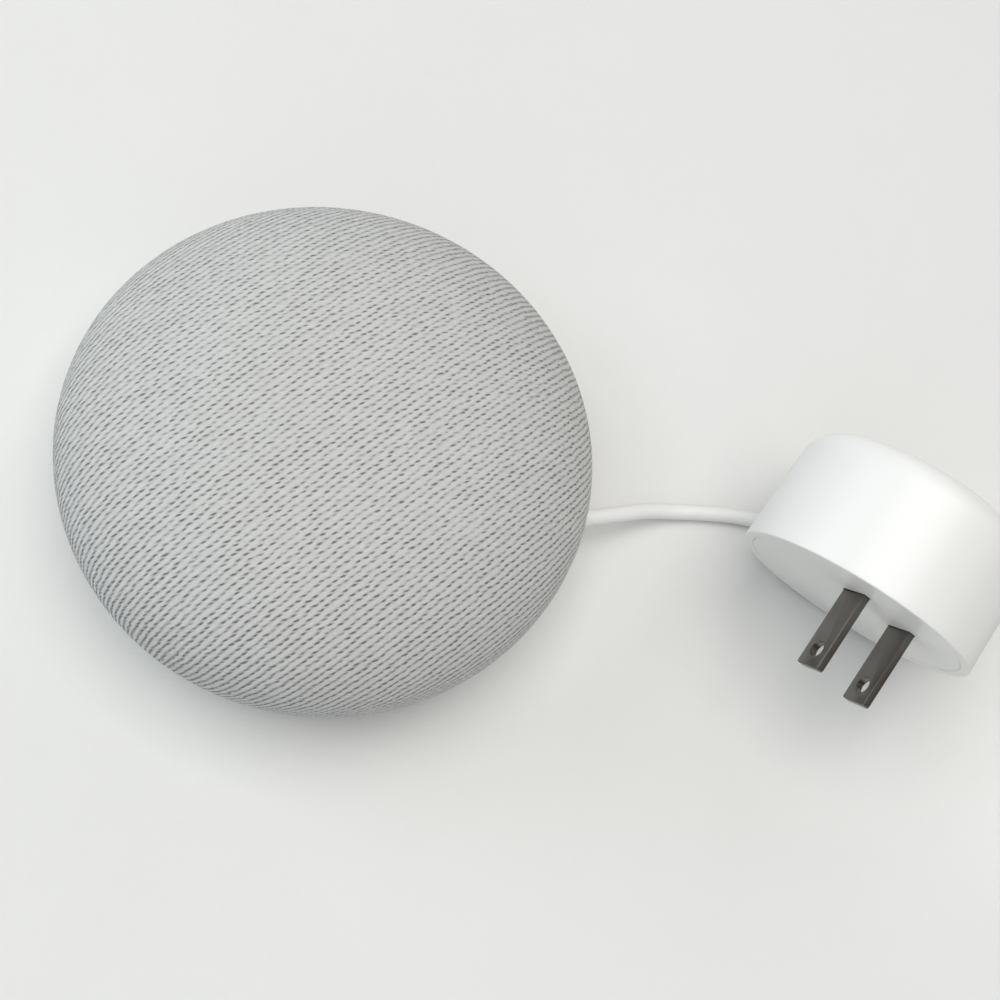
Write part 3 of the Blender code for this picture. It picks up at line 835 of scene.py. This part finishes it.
@dataclass
class Speaker:
    """Fabric dome, base, trim, foot and switch, in millimetres but for the switch slot."""

    radius: float = 49.0
    height: float = 42.0
    equator: float = 20.0
    exponent: float = 2.3
    foot_radius: float = 37.0
    foot_height: float = 1.8
    split: float = 14.0
    wall: float = 2.2
    hem: float = 15.6
    lead_exit: Triple = (49.0, 18.0, 8.4)
    switch_angle: float = radians(62.0)
    switch_height: float = 10.8
    mouth: Profile = field(default_factory=lambda: [(0.0, -17.0), (3.3, -17.0), (3.3, 4.0),
                                                    (0.0, 4.0)])
    switch_slot: Triple = (0.009, 0.0066, 0.0034)
    slot_corner: float = 0.0008
    screw_circle: float = 32.0
    screw_hole: Profile = field(default_factory=lambda: [(0.0, 0.0), (3.2, 0.0), (3.2, 2.8),
                                                         (1.7, 2.8), (1.7, 9.0), (0.0, 9.0)])
    knob_proud: float = 0.9
    knob_root: float = 42.8
    trim_root: float = 44.5
    sides: int = 160
    dome_steps: int = 400
    hem_steps: int = 6
    points_per_stitch: float = 5.0
    points_per_row: float = 2.0
    stitch_sink: float = 0.16
    hem_margin: float = 0.15
    hem_tuck: float = 0.975
    hem_lip: float = 0.1
    materials: dict[Slot, Material] = field(default_factory=dict)

    def lower_radius(self, z: float) -> float:
        """Outer radius of the lower shell at a height."""
        drop = min(1.0, (self.equator - z) / (self.equator - self.foot_height))
        return self.foot_radius + (self.radius - self.foot_radius) * sqrt(1.0 - drop * drop)

    def dome_profile(self, steps: int) -> Profile:
        """Outer profile of the cover from its pole to its hem.

        Args:
            steps: Steps from the pole to the equator.

        Returns:
            (radius, height) points.
        """
        rise = self.height - self.equator
        points = []
        for i in range(steps + 1):
            angle = 0.5 * pi * (1.0 - i / steps)
            r = self.radius * max(0.0, cos(angle)) ** (2.0 / self.exponent)
            points.append((r, self.equator + rise * max(0.0, sin(angle)) ** (2.0 / self.exponent)))
        for i in range(1, self.hem_steps + 1):
            z = self.equator - (self.equator - self.hem) * i / self.hem_steps
            points.append((self.lower_radius(z), z))
        return points

    def fabric(self) -> Piece:
        """Knitted cover: one sheet with raised stitches, drawn over the dome and under its hem.

        Returns:
            The cover.
        """
        arc = Arc(self.dome_profile(self.dome_steps))
        step_u = KNIT.stitch_width / MM / self.points_per_stitch
        step_v = KNIT.row_height / MM / self.points_per_row
        half_u, half_v = ceil(arc.reach / step_u) + 1, ceil(arc.reach / step_v) + 1
        Bench.clear()
        bpy.ops.mesh.primitive_grid_add(x_subdivisions=2 * half_u, y_subdivisions=2 * half_v,
                                        size=2.0)
        cover = bpy.context.object
        cover.name = "knit_cover"
        mesh = cover.data
        mesh.uv_layers[0].name = "cloth"
        for vertex in mesh.vertices:
            vertex.co.x *= half_u * step_u
            vertex.co.y *= half_v * step_v
        bpy.ops.object.mode_set(mode="EDIT")
        bm = bmesh.from_edit_mesh(mesh)
        for face in bm.faces:
            face.select_set(any(v.co.length > arc.reach - self.hem_margin for v in face.verts))
        bmesh.update_edit_mesh(mesh)
        bpy.ops.mesh.delete(type="FACE")
        bm = bmesh.from_edit_mesh(mesh)
        loose = [v for v in bm.verts if not v.link_faces]
        bmesh.ops.delete(bm, geom=loose, context="VERTS")
        layer = bm.loops.layers.uv["cloth"]
        for vertex in bm.verts:
            if vertex.is_boundary:
                vertex.co *= arc.reach / vertex.co.length
        for face in bm.faces:
            for loop in face.loops:
                loop[layer].uv = (loop.vert.co.x * MM, loop.vert.co.y * MM)
        for vertex in bm.verts:
            vertex.co = self.on_dome(arc, vertex.co.x, vertex.co.y, vertex.is_boundary)
        bmesh.update_edit_mesh(mesh)
        bpy.ops.mesh.select_all(action="DESELECT")
        bpy.ops.mesh.select_mode(type="EDGE")
        bpy.ops.mesh.select_non_manifold()
        bpy.ops.mesh.extrude_region_move(
            TRANSFORM_OT_translate={"value": (0, 0, -self.hem_lip * MM)})
        bpy.ops.transform.resize(value=(self.hem_tuck, self.hem_tuck, 1.0),
                                 center_override=(0, 0, self.hem * MM))
        bpy.ops.mesh.select_all(action="SELECT")
        bpy.ops.mesh.normals_make_consistent(inside=False)
        bpy.ops.object.mode_set(mode="OBJECT")
        Bench.settle(cover)
        bpy.ops.object.shade_smooth()
        return cover

    def on_dome(self, arc: Arc, u: float, v: float, at_hem: bool) -> Vector:
        """Where a point of the flat cloth lies on the dome.

        Args:
            arc: The dome's profile.
            u: Place along the rows.
            v: Place across the rows.
            at_hem: Whether the point is on the hem, which has no stitches.

        Returns:
            The place in metres.
        """
        s = min(hypot(u, v), arc.reach)
        r, z, out_r, out_z = arc.at(s)
        turn_x, turn_y = (u / s, v / s) if s > AT_POLE else (1.0, 0.0)
        c, k = cos(KNIT.heading), sin(KNIT.heading)
        x, y = turn_x * c - turn_y * k, turn_x * k + turn_y * c
        sunk = 0.0 if at_hem else -self.stitch_sink * KNIT.depth(u * MM, v * MM)
        if s < AT_POLE:
            out_r, out_z = 0.0, 1.0
        r, z = r + sunk * out_r, z + sunk * out_z
        return Vector((x * r, y * r, z)) * MM

    def socket_place(self) -> Matrix:
        """Placement at the socket's mouth, with Z along the lead."""
        return along(Vector(self.lead_exit) * MM, LEAD_HEADING)

    def base(self) -> Piece:
        """Moulded lower shell with its socket mouth, switch slot and screw recesses.

        Returns:
            The shell.
        """
        inner_floor = self.foot_height + self.wall
        belly = self.radius - self.foot_radius
        outer_end = degrees(asin((self.equator - self.split) / (self.equator - self.foot_height)))
        inner_end = degrees(asin((self.equator - self.split) / (self.equator - inner_floor)))
        outer = quadrant((self.foot_radius, self.equator),
                         (belly, self.equator - self.foot_height), -90, -outer_end, 24)
        lip_r, lip_z = outer[-1]
        outer[-1:] = [(lip_r - 0.04, lip_z - 0.35), (lip_r - 0.14, lip_z - 0.1),
                      (lip_r - 0.4, lip_z)]
        inner = quadrant((self.foot_radius - 1.0, self.equator),
                         (belly + 1.0 - self.wall, self.equator - inner_floor),
                         -inner_end, -90, 16)
        profile = [(0.0, self.foot_height)] + outer + inner + [(0.0, inner_floor)]
        shell = Bench.lathe("lower_shell", scaled(profile), self.sides)
        Bench.cut(shell, Bench.lathe("mouth", scaled(self.mouth), 48, self.socket_place()))
        edge = self.lower_radius(self.switch_height)
        slot_place = upright(edge * cos(self.switch_angle), edge * sin(self.switch_angle),
                             self.switch_height, self.switch_angle)
        Bench.cut(shell, Bench.slab("slot", self.switch_slot, self.slot_corner, 3, slot_place))
        for angle in (45.0, 135.0, 225.0, 315.0):
            x, y = (self.screw_circle * turn(radians(angle)) for turn in (cos, sin))
            Bench.cut(shell, Bench.lathe("sink", scaled(self.screw_hole), 32, upright(x, y, 0.0)))
        return shell

    def foot(self) -> Piece:
        """Rubber foot with a rounded rim and two shallow grip grooves.

        Returns:
            The foot.
        """
        top = self.foot_height - 0.3
        profile = [(0.0, 0.0), (30.4, 0.0), (30.8, 0.25), (31.4, 0.25), (31.8, 0.0), (33.4, 0.0),
                   (33.8, 0.25), (34.4, 0.25), (34.8, 0.0), (35.4, 0.0)]
        profile += quadrant((35.5, 0.6), (0.7, 0.6), -80, 0, 5) + [(36.2, top - 0.3),
                                                                  (36.0, top), (0.0, top)]
        return Bench.lathe("foot", scaled(profile), self.sides)

    def trim(self) -> Piece:
        """Soft ring between the shell and the cover's hem.

        Returns:
            The ring.
        """
        low, high = self.split + 0.3, self.split + 1.3
        edge = self.lower_radius(low) - 0.5
        profile = [(self.trim_root, low), (edge - 0.25, low), (edge, low + 0.25),
                   (edge, high - 0.25), (edge - 0.25, high), (self.trim_root, high)]
        return Bench.lathe("trim", scaled(profile), self.sides)

    def knob(self) -> Piece:
        """Sliding microphone switch with three grip grooves.

        Returns:
            The knob.
        """
        low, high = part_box("mute_switch_knob")
        middle = (Vector(low) + Vector(high)) / 2.0
        length = self.lower_radius(self.switch_height) + self.knob_proud - self.knob_root
        place = Matrix.Translation(middle) @ Matrix.Rotation(self.switch_angle, 4, "Z")
        knob = Bench.slab("switch_knob", (length * MM, 0.0038, 0.0026), 0.00035, 3, place)
        for side in (-1, 0, 1):
            groove = Bench.slab("groove", (0.0008, 0.00035, 0.004), 0.0, 1,
                                place @ Matrix.Translation((0.5 * length * MM, side * 0.0009, 0)))
            Bench.cut(knob, groove)
        return knob

    def build(self) -> None:
        """Build every visible piece of the speaker and dress it."""
        cover = self.fabric()
        Bench.dress(cover, Knit("knit", KNIT).material(), Slot.FABRIC, "root", "fabric_cover")
        pieces = ((self.base(), Slot.SHELL, "root", "base_shell"),
                  (self.foot(), Slot.RUBBER, "root", "foot_pad"),
                  (self.trim(), Slot.RUBBER, "root", "trim_ring"),
                  (self.knob(), Slot.ACCENT_PLASTIC, "mute_knob", "mute_switch_knob"))
        for piece, slot, body, node in pieces:
            Bench.dress(piece, self.materials[slot], slot, body, node)


# ---- lead -------------------------------------------------------------------------------------
@dataclass
class Lead:
    """Power lead from the socket, behind the adapter, through its coil and back to the adapter."""

    diameter: float = 0.0032
    length: float = 1.5
    route: tuple[Triple, ...] = (
        (49.3, 18.2, 8.4), (54.1, 22.4, 7.2), (59.3, 27.3, 4.6), (64.5, 31.0, 2.4),
        (69.7, 34.0, 1.7), (75.0, 36.5, 1.7), (80.3, 38.3, 1.7), (85.8, 39.5, 1.7),
        (91.2, 39.8, 1.7), (96.6, 39.4, 1.7), (101.8, 39.4, 1.7), (107.2, 40.9, 1.7),
        (112.6, 43.8, 1.7), (118.0, 47.4, 1.7), (124.0, 51.4, 1.7), (131.0, 54.9, 1.7),
        (138.5, 57.0, 1.7), (146.4, 56.6, 1.8), (154.3, 53.5, 2.1), (162.4, 48.4, 2.5),
        (173.6, 40.3, 2.8),
    )
    tail: tuple[Triple, ...] = (
        (153.15, 20.0, 12.5), (153.1, 24.4, 12.2), (153.0, 28.8, 11.2), (152.8, 33.0, 9.9),
        (152.3, 37.8, 7.9), (150.9, 42.4, 5.8), (148.2, 46.2, 4.0), (144.6, 48.8, 2.9),
        (140.8, 50.0, 2.6), (137.2, 49.9, 3.1), (134.0, 49.1, 4.1), (131.5, 47.9, 5.3),
        (129.1, 46.52, 6.83),
    )
    inside_plug: float = 1.4
    coil_centre: tuple[float, float] = (174.0, 16.0)
    coil_radii: tuple[float, ...] = (20.8, 17.6, 14.4)
    layers: int = 4
    layer_rise: float = 3.25
    turn_change: float = 0.22
    first_layer: float = 2.85
    entry_angle: float = radians(60.0)
    exit_angle: float = radians(180.0)
    points_per_turn: int = 40
    plug_length: float = 16.6
    tie_angle: float = radians(-50.0)
    materials: dict[Slot, Material] = field(default_factory=dict)
    pieces: list[Piece] = field(default_factory=list)

    def coil(self) -> list[Vector]:
        """Turns of the coil, clockwise from the entry to the exit.

        Returns:
            Points in millimetres.
        """
        stops = []
        for layer in range(self.layers):
            radii = self.coil_radii if layer % 2 == 0 else self.coil_radii[::-1]
            stops += [(radius, self.first_layer + layer * self.layer_rise) for radius in radii]
        sweep = (self.entry_angle - self.exit_angle) % (2.0 * pi)
        total = 2.0 * pi * (len(stops) - 1) + sweep
        count = int(self.points_per_turn * total / (2.0 * pi))
        change = self.turn_change
        points = []
        for i in range(1, count + 1):
            turned = total * i / count
            here = turned / (2.0 * pi)
            index = min(int(here), len(stops) - 1)
            part = here - index
            r, z = stops[index]
            if index + 1 < len(stops) and part > 1.0 - change:
                t = (part - 1.0 + change) / change
                t = t * t * (3.0 - 2.0 * t)
                r += (stops[index + 1][0] - r) * t
                z += (stops[index + 1][1] - z) * t
            angle = self.entry_angle - turned
            points.append(Vector((self.coil_centre[0] + r * cos(angle),
                                  self.coil_centre[1] + r * sin(angle), z)))
        return points

    @staticmethod
    def smooth(points: list[Vector], parts: int) -> list[Vector]:
        """Catmull-Rom curve through points.

        Args:
            points: Points to pass through.
            parts: Steps between two points.

        Returns:
            The curve's points.
        """
        padded = [points[0] * 2 - points[1]] + points + [points[-1] * 2 - points[-2]]
        curve = []
        for a, b, c, d in zip(padded, padded[1:], padded[2:], padded[3:]):
            for i in range(parts):
                t = i / parts
                curve.append(0.5 * (2 * b + (c - a) * t + (2 * a - 5 * b + 4 * c - d) * t * t
                                    + (3 * b - a - 3 * c + d) * t ** 3))
        return curve + [points[-1]]

    def line(self) -> Piece:
        """The whole lead as one bevelled curve.

        Returns:
            The curve.
        """
        coil = self.coil()
        start = Vector(self.route[0])
        inner = start - LEAD_HEADING * self.inside_plug
        first = self.smooth([inner, start] + [Vector(p) for p in self.route[1:]] + coil[:2], 4)
        last = self.smooth(coil[-2:] + [Vector(p) for p in self.tail], 5)
        points = first[:-5] + coil[:-1] + last[5:]
        curve = bpy.data.curves.new("lead", "CURVE")
        curve.dimensions = "3D"
        curve.bevel_depth = 0.5 * self.diameter
        curve.bevel_resolution = 6
        curve.use_fill_caps = True
        spline = curve.splines.new("POLY")
        spline.points.add(len(points) - 1)
        for knot, point in zip(spline.points, points):
            knot.co = (*(point * MM), 1.0)
        spline.use_smooth = True
        item = bpy.data.objects.new("lead", curve)
        bpy.context.scene.collection.objects.link(item)
        return item

    def plug(self, speaker: Speaker) -> Piece:
        """Moulded plug body with a ribbed strain relief.

        Args:
            speaker: The speaker that the plug sits in.

        Returns:
            The plug.
        """
        end = -self.plug_length
        profile = [(0.0, end), (2.5, end), (2.75, end + 0.25), (2.8, end + 0.6), (2.8, -4.9),
                   (2.6, -4.5)]
        for i in range(2):
            back = -4.2 + i * 1.0
            width = 2.35 - 0.15 * i
            profile += [(width, back), (width, back + 0.5), (width - 0.3, back + 0.65),
                        (width - 0.3, back + 0.85)]
        profile += [(1.85, -1.8), (1.7, -0.8), (1.62, 0.0), (0.0, 0.0)]
        return Bench.lathe("plug", scaled(profile), 48, speaker.socket_place())

    def tie(self) -> Piece:
        """Soft strap round the coil.

        Returns:
            The strap.
        """
        low, high = (Vector(p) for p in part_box("lead_tie"))
        angle = self.tie_angle
        middle = 0.5 * (min(self.coil_radii) + max(self.coil_radii))
        place = upright(self.coil_centre[0] + middle * cos(angle),
                        self.coil_centre[1] + middle * sin(angle),
                        0.5 * (low.z + high.z) / MM, angle)
        tall = high.z - low.z
        strap = Bench.slab("strap", (0.0122, 0.006, tall), 0.0022, 4, place)
        hollow = Bench.slab("hollow", (0.0110, 0.012, tall - 0.0014), 0.0018, 4, place)
        Bench.cut(strap, hollow)
        return strap

    def build(self, speaker: Speaker) -> Piece:
        """Build the lead, its plug and its tie.

        Args:
            speaker: The speaker that the plug sits in.

        Returns:
            The lead.
        """
        line = self.line()
        line.data.materials.append(self.materials[Slot.LEAD_SHEATH])
        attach(line, "root")
        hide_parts("power_lead", "adapter_lead", "lead_coil")
        LOG.info("lead: %d points", len(line.data.splines[0].points))
        for piece, slot, node in ((self.plug(speaker), Slot.LEAD_SHEATH, "plug_body"),
                                  (self.tie(), Slot.TIE_STRAP, "lead_tie")):
            Bench.dress(piece, self.materials[slot], slot, "root", node)
            self.pieces.append(piece)
        return line


# ---- adapter ----------------------------------------------------------------------------------
@dataclass
class Adapter:
    """Round wall adapter that stands on its rim and leans back on the lead, in millimetres."""

    centre: Triple = (99.64, 21.31, 23.05)
    heading: float = radians(263.3)
    pitch: float = radians(-16.6)
    roll: float = radians(65.7)
    radius: float = 24.0
    length: float = 25.5
    corner: float = 5.5
    wall: float = 2.0
    blade_spacing: float = 12.7
    blade_width: float = 6.35
    blade_thickness: float = 1.5
    blade_length: float = 15.9
    blade_offset: float = 7.9
    blade_root: float = 4.6
    blade_chamfer: float = 0.5
    blade_edge: float = 0.14
    eye_radius: float = 1.6
    exit_angle: float = radians(42.0)
    exit_back: float = 18.0
    exit_lean: float = radians(20.0)
    exit_inset: float = 1.4
    exit_hole: float = 2.8
    relief: float = 12.0
    relief_root: float = 1.5
    relief_rings: int = 6
    face_gap: float = 0.04
    gate_room: float = 0.5
    materials: dict[Slot, Material] = field(default_factory=dict)

    def axes(self) -> tuple[Matrix, Vector]:
        """Placement of the adapter and the lead's exit direction in its own frame.

        Returns:
            The placement, and the exit direction.
        """
        heading, pitch, roll = self.heading, self.pitch, self.roll
        blades = Vector((cos(heading) * cos(pitch), sin(heading) * cos(pitch), sin(pitch)))
        level = Vector((-sin(heading), cos(heading), 0.0))
        steep = blades.cross(level)
        width = level * cos(roll) + steep * sin(roll)
        across = blades.cross(width)
        turn = Matrix((across, width, -blades)).transposed().to_4x4()
        leaving = level * cos(self.exit_angle) - steep * sin(self.exit_angle)
        local = Vector((leaving.dot(across), leaving.dot(width), 0.0))
        return Matrix.Translation(Vector(self.centre) * MM) @ turn, local

    def exit_place(self, place: Matrix, leaving: Vector) -> Matrix:
        """Placement of the strain relief, which leans away from the blades.

        Args:
            place: The adapter's placement.
            leaving: The lead's exit direction in the adapter's frame.

        Returns:
            The placement, with Z along the strain relief.
        """
        base = leaving * (self.radius - self.exit_inset) + Vector((0, 0, self.exit_back))
        lean = leaving * cos(self.exit_lean) + Vector((0.0, 0.0, sin(self.exit_lean)))
        return place @ along(base * MM, lean)

    def housing(self, place: Matrix, leaving: Vector) -> Piece:
        """Cup of the adapter with a soft back corner, slight draft and a rounded rim.

        Args:
            place: The adapter's placement.
            leaving: The lead's exit direction in the adapter's frame.

        Returns:
            The cup, with the hole for the strain relief.
        """
        back, corner, wall = self.length, self.corner, self.wall
        side = self.radius - 0.45
        outer = [(0.0, back), (side - corner - 6.0, back - 0.12)]
        outer += quadrant((side - corner, back - corner), (corner, corner - 0.2), 84, 0, 14)
        outer += [(self.radius - 0.15, 8.0), (self.radius, 0.7)]
        outer += quadrant((self.radius - 0.3, 0.3), (0.3, 0.3), 0, -90, 5)
        inner = [(self.radius - wall + 0.25, 0.0), (self.radius - wall, 0.25)]
        inner += quadrant((side - corner, back - corner), (corner - wall, corner - wall), 0, 90, 8)
        inner += [(0.0, back - wall)]
        cup = Bench.lathe("adapter_cup", scaled(outer + inner), 192, place, 25.0)
        hole = [(0.0, -3.0), (self.exit_hole, -3.0), (self.exit_hole, 6.0), (0.0, 6.0)]
        Bench.cut(cup, Bench.lathe("hole", scaled(hole), 32, self.exit_place(place, leaving)))
        return cup

    def face(self, place: Matrix) -> Piece:
        """Face plate, set in from the rim, with a slot for each blade.

        Args:
            place: The adapter's placement.

        Returns:
            The plate.
        """
        edge = self.radius - self.wall - self.face_gap
        profile = [(0.0, 0.12), (edge - 0.1, 0.12), (edge, 0.2), (edge, 2.3), (0.0, 2.3)]
        plate = Bench.lathe("adapter_plate", scaled(profile), 160, place, 25.0)
        for side in (-0.5, 0.5):
            spot = place @ Matrix.Translation(
                Vector((side * self.blade_spacing, self.blade_offset, 1.5)) * MM)
            size = ((self.blade_thickness + self.gate_room) * MM,
                    (self.blade_width + self.gate_room) * MM, 0.008)
            Bench.cut(plate, Bench.slab("gate", size, 0.0002, 2, spot))
        return plate

    def blade(self, side: float, name: str, place: Matrix) -> Piece:
        """Flat blade with a chamfered tip and a round eye.

        Args:
            side: -0.5 or 0.5, which side of the middle.
            name: Name of the piece.
            place: The adapter's placement.

        Returns:
            The blade.
        """
        length = self.blade_length + self.blade_root
        middle = Vector((side * self.blade_spacing, self.blade_offset,
                         self.blade_root - 0.5 * length))
        spot = place @ Matrix.Translation(middle * MM)
        item = Bench.block(name, (self.blade_thickness * MM, self.blade_width * MM, length * MM))
        bpy.ops.object.mode_set(mode="EDIT")
        bpy.ops.mesh.select_mode(type="EDGE")
        bpy.ops.mesh.select_all(action="DESELECT")
        bm = bmesh.from_edit_mesh(item.data)
        tip = -0.49 * length * MM
        for edge in bm.edges:
            ends = [v.co for v in edge.verts]
            runs_across = abs(ends[0].x - ends[1].x) > 0.5 * self.blade_thickness * MM
            edge.select_set(runs_across and all(e.z < tip for e in ends))
        bmesh.update_edit_mesh(item.data)
        bpy.ops.mesh.bevel(offset=self.blade_chamfer * MM, segments=3, profile=0.5)
        bpy.ops.mesh.select_all(action="SELECT")
        bpy.ops.mesh.bevel(offset=self.blade_edge * MM, segments=2, profile=0.5,
                           clamp_overlap=True)
        bpy.ops.object.mode_set(mode="OBJECT")
        Bench.settle(item, spot)
        eye_at = Vector((side * self.blade_spacing, self.blade_offset, 3.6 - self.blade_length))
        eye = Bench.lathe("eye", scaled([(0.0, -3.0), (self.eye_radius, -3.0),
                                         (self.eye_radius, 3.0), (0.0, 3.0)]), 40,
                          place @ along(eye_at * MM, Vector((1.0, 0.0, 0.0))))
        Bench.cut(item, eye)
        return item

    def grommet(self, place: Matrix, leaving: Vector) -> Piece:
        """Tapered strain relief with rings, on the side wall.

        Args:
            place: The adapter's placement.
            leaving: The lead's exit direction in the adapter's frame.

        Returns:
            The strain relief.
        """
        profile = [(0.0, -0.4), (2.6, -0.4), (2.6, 1.6), (2.45, 1.9)]
        for i in range(self.relief_rings):
            back = 2.4 + 1.7 * i
            width = 2.5 - 0.09 * i
            profile += [(width, back), (width, back + 0.9), (width - 0.4, back + 1.1),
                        (width - 0.4, back + 1.5)]
        end = self.relief_root + self.relief
        profile += [(1.75, end - 0.2), (1.7, end), (0.0, end)]
        return Bench.lathe("adapter_grommet", scaled(profile), 48, self.exit_place(place, leaving))

    def build(self) -> list[object]:
        """Build the adapter's pieces and dress them.

        Returns:
            The pieces and CAD nodes that go with the lead.
        """
        place, leaving = self.axes()
        made = (
            (self.housing(place, leaving), Slot.WHITE_PLASTIC, "adapter_housing"),
            (self.face(place), Slot.WHITE_PLASTIC, "adapter_face"),
            (self.grommet(place, leaving), Slot.WHITE_PLASTIC, "adapter_relief"),
            (self.blade(-0.5, "blade_a", place), Slot.BLADE_METAL, "blade_left"),
            (self.blade(0.5, "blade_b", place), Slot.BLADE_METAL, "blade_right"),
        )
        for piece, slot, node in made:
            Bench.dress(piece, self.materials[slot], slot, "root", node)
        inside = [frame["nodes"][name] for name in
                  ("adapter_board", "adapter_transformer", "adapter_capacitor")]
        return [piece for piece, _, _ in made] + inside


# ---- studio -----------------------------------------------------------------------------------
@dataclass(frozen=True)
class Light:
    """Soft square light that faces the speaker, in metres and watts."""

    name: str
    place: Triple
    power: float
    edge: float
    colour: Triple

    def build(self, target: Vector) -> None:
        """Add the light.

        Args:
            target: Where it points.
        """
        data = bpy.data.lights.new(self.name, "AREA")
        data.energy = self.power
        data.size = self.edge
        data.color = self.colour
        item = bpy.data.objects.new(self.name, data)
        place = Vector(self.place)
        item.matrix_world = (Matrix.Translation(place)
                             @ (target - place).to_track_quat("-Z", "Y").to_matrix().to_4x4())
        bpy.context.scene.collection.objects.link(item)


@dataclass
class Studio:
    """Pale floor, soft lights and the camera, in metres."""

    eye: Triple = (0.031716, -0.095389, 0.259813)
    tilt: float = radians(23.19)
    roll: float = radians(28.19)
    lens: float = 50.4
    sensor: float = 36.0
    nearest: float = 0.005
    floor_colour: Triple = (0.80, 0.80, 0.79)
    floor_edge: float = 6.0
    sky_colour: Triple = (0.95, 0.97, 1.0)
    sky_strength: float = 0.09
    target: Triple = (0.05, 0.0, 0.0)
    lights: tuple[Light, ...] = (
        Light("overhead", (0.05, 0.05, 1.40), 14.2, 1.2, (1.0, 0.98, 0.93)),
        Light("window", (-1.10, -0.10, 0.60), 7.0, 1.0, (0.86, 0.95, 1.0)),
        Light("behind", (0.10, 1.10, 0.80), 2.8, 1.2, (0.97, 0.97, 1.0)),
        Light("front", (0.20, -0.95, 0.85), 3.8, 1.2, (0.90, 0.95, 1.0)),
        Light("lamp", (1.00, -0.05, 0.60), 0.3, 0.5, (1.0, 0.88, 0.74)),
    )

    def camera(self) -> None:
        """Place the camera."""
        data = bpy.data.cameras.new("camera")
        data.lens = self.lens
        data.sensor_width = self.sensor
        data.clip_start = self.nearest
        item = bpy.data.objects.new("camera", data)
        item.matrix_world = (Matrix.Translation(Vector(self.eye))
                             @ Matrix.Rotation(self.tilt, 4, "X")
                             @ Matrix.Rotation(self.roll, 4, "Z"))
        bpy.context.scene.collection.objects.link(item)
        bpy.context.scene.camera = item

    def build(self) -> None:
        """Build the floor, the world and the lights."""
        Bench.clear()
        bpy.ops.mesh.primitive_plane_add(size=self.floor_edge, location=(0, 0, 0))
        ground = bpy.context.object
        ground.name = "floor"
        cloth = Moulded("floor_cloth", self.floor_colour, 0.85, 0.00006, 900.0, 0.01)
        ground.data.materials.append(cloth.material())
        world = bpy.data.worlds.new("studio")
        world.use_nodes = True
        background = world.node_tree.nodes["Background"]
        background.inputs["Color"].default_value = (*self.sky_colour, 1.0)
        background.inputs["Strength"].default_value = self.sky_strength
        bpy.context.scene.world = world
        for light in self.lights:
            light.build(Vector(self.target))
        bpy.context.scene.view_settings.view_transform = "Standard"
        bpy.context.scene.view_settings.look = "None"


def dress_frame(materials: dict[Slot, Material]) -> None:
    """Give every CAD node the finish of its slot.

    Args:
        materials: Material of each slot.
    """
    slots = {entry["node"]: entry["material_slot"] for entry in frame["record"]["subparts"]}
    for name, item in frame["nodes"].items():
        slot = Slot(slots[name])
        material = materials.get(slot, materials[Slot.SHELL])
        if item.material_slots:
            for place in item.material_slots:
                place.material = material
        else:
            item.data.materials.append(material)


def main() -> None:
    """Build the studio, the speaker, the lead and the adapter in order."""
    logging.basicConfig(level=logging.INFO, format="%(name)s %(message)s")
    materials = {slot: finish.material() for slot, finish in FINISHES.items()}
    studio = Studio()
    studio.camera()
    dress_frame(materials)
    speaker = Speaker(materials=materials)
    lead = Lead(materials=materials)
    line = lead.build(speaker)
    adapter = Adapter(materials=materials)
    adapter.build() + [frame["nodes"]["plug_barrel"]]
    speaker.build()
    studio.build()


if __name__ == "__main__":
    main()
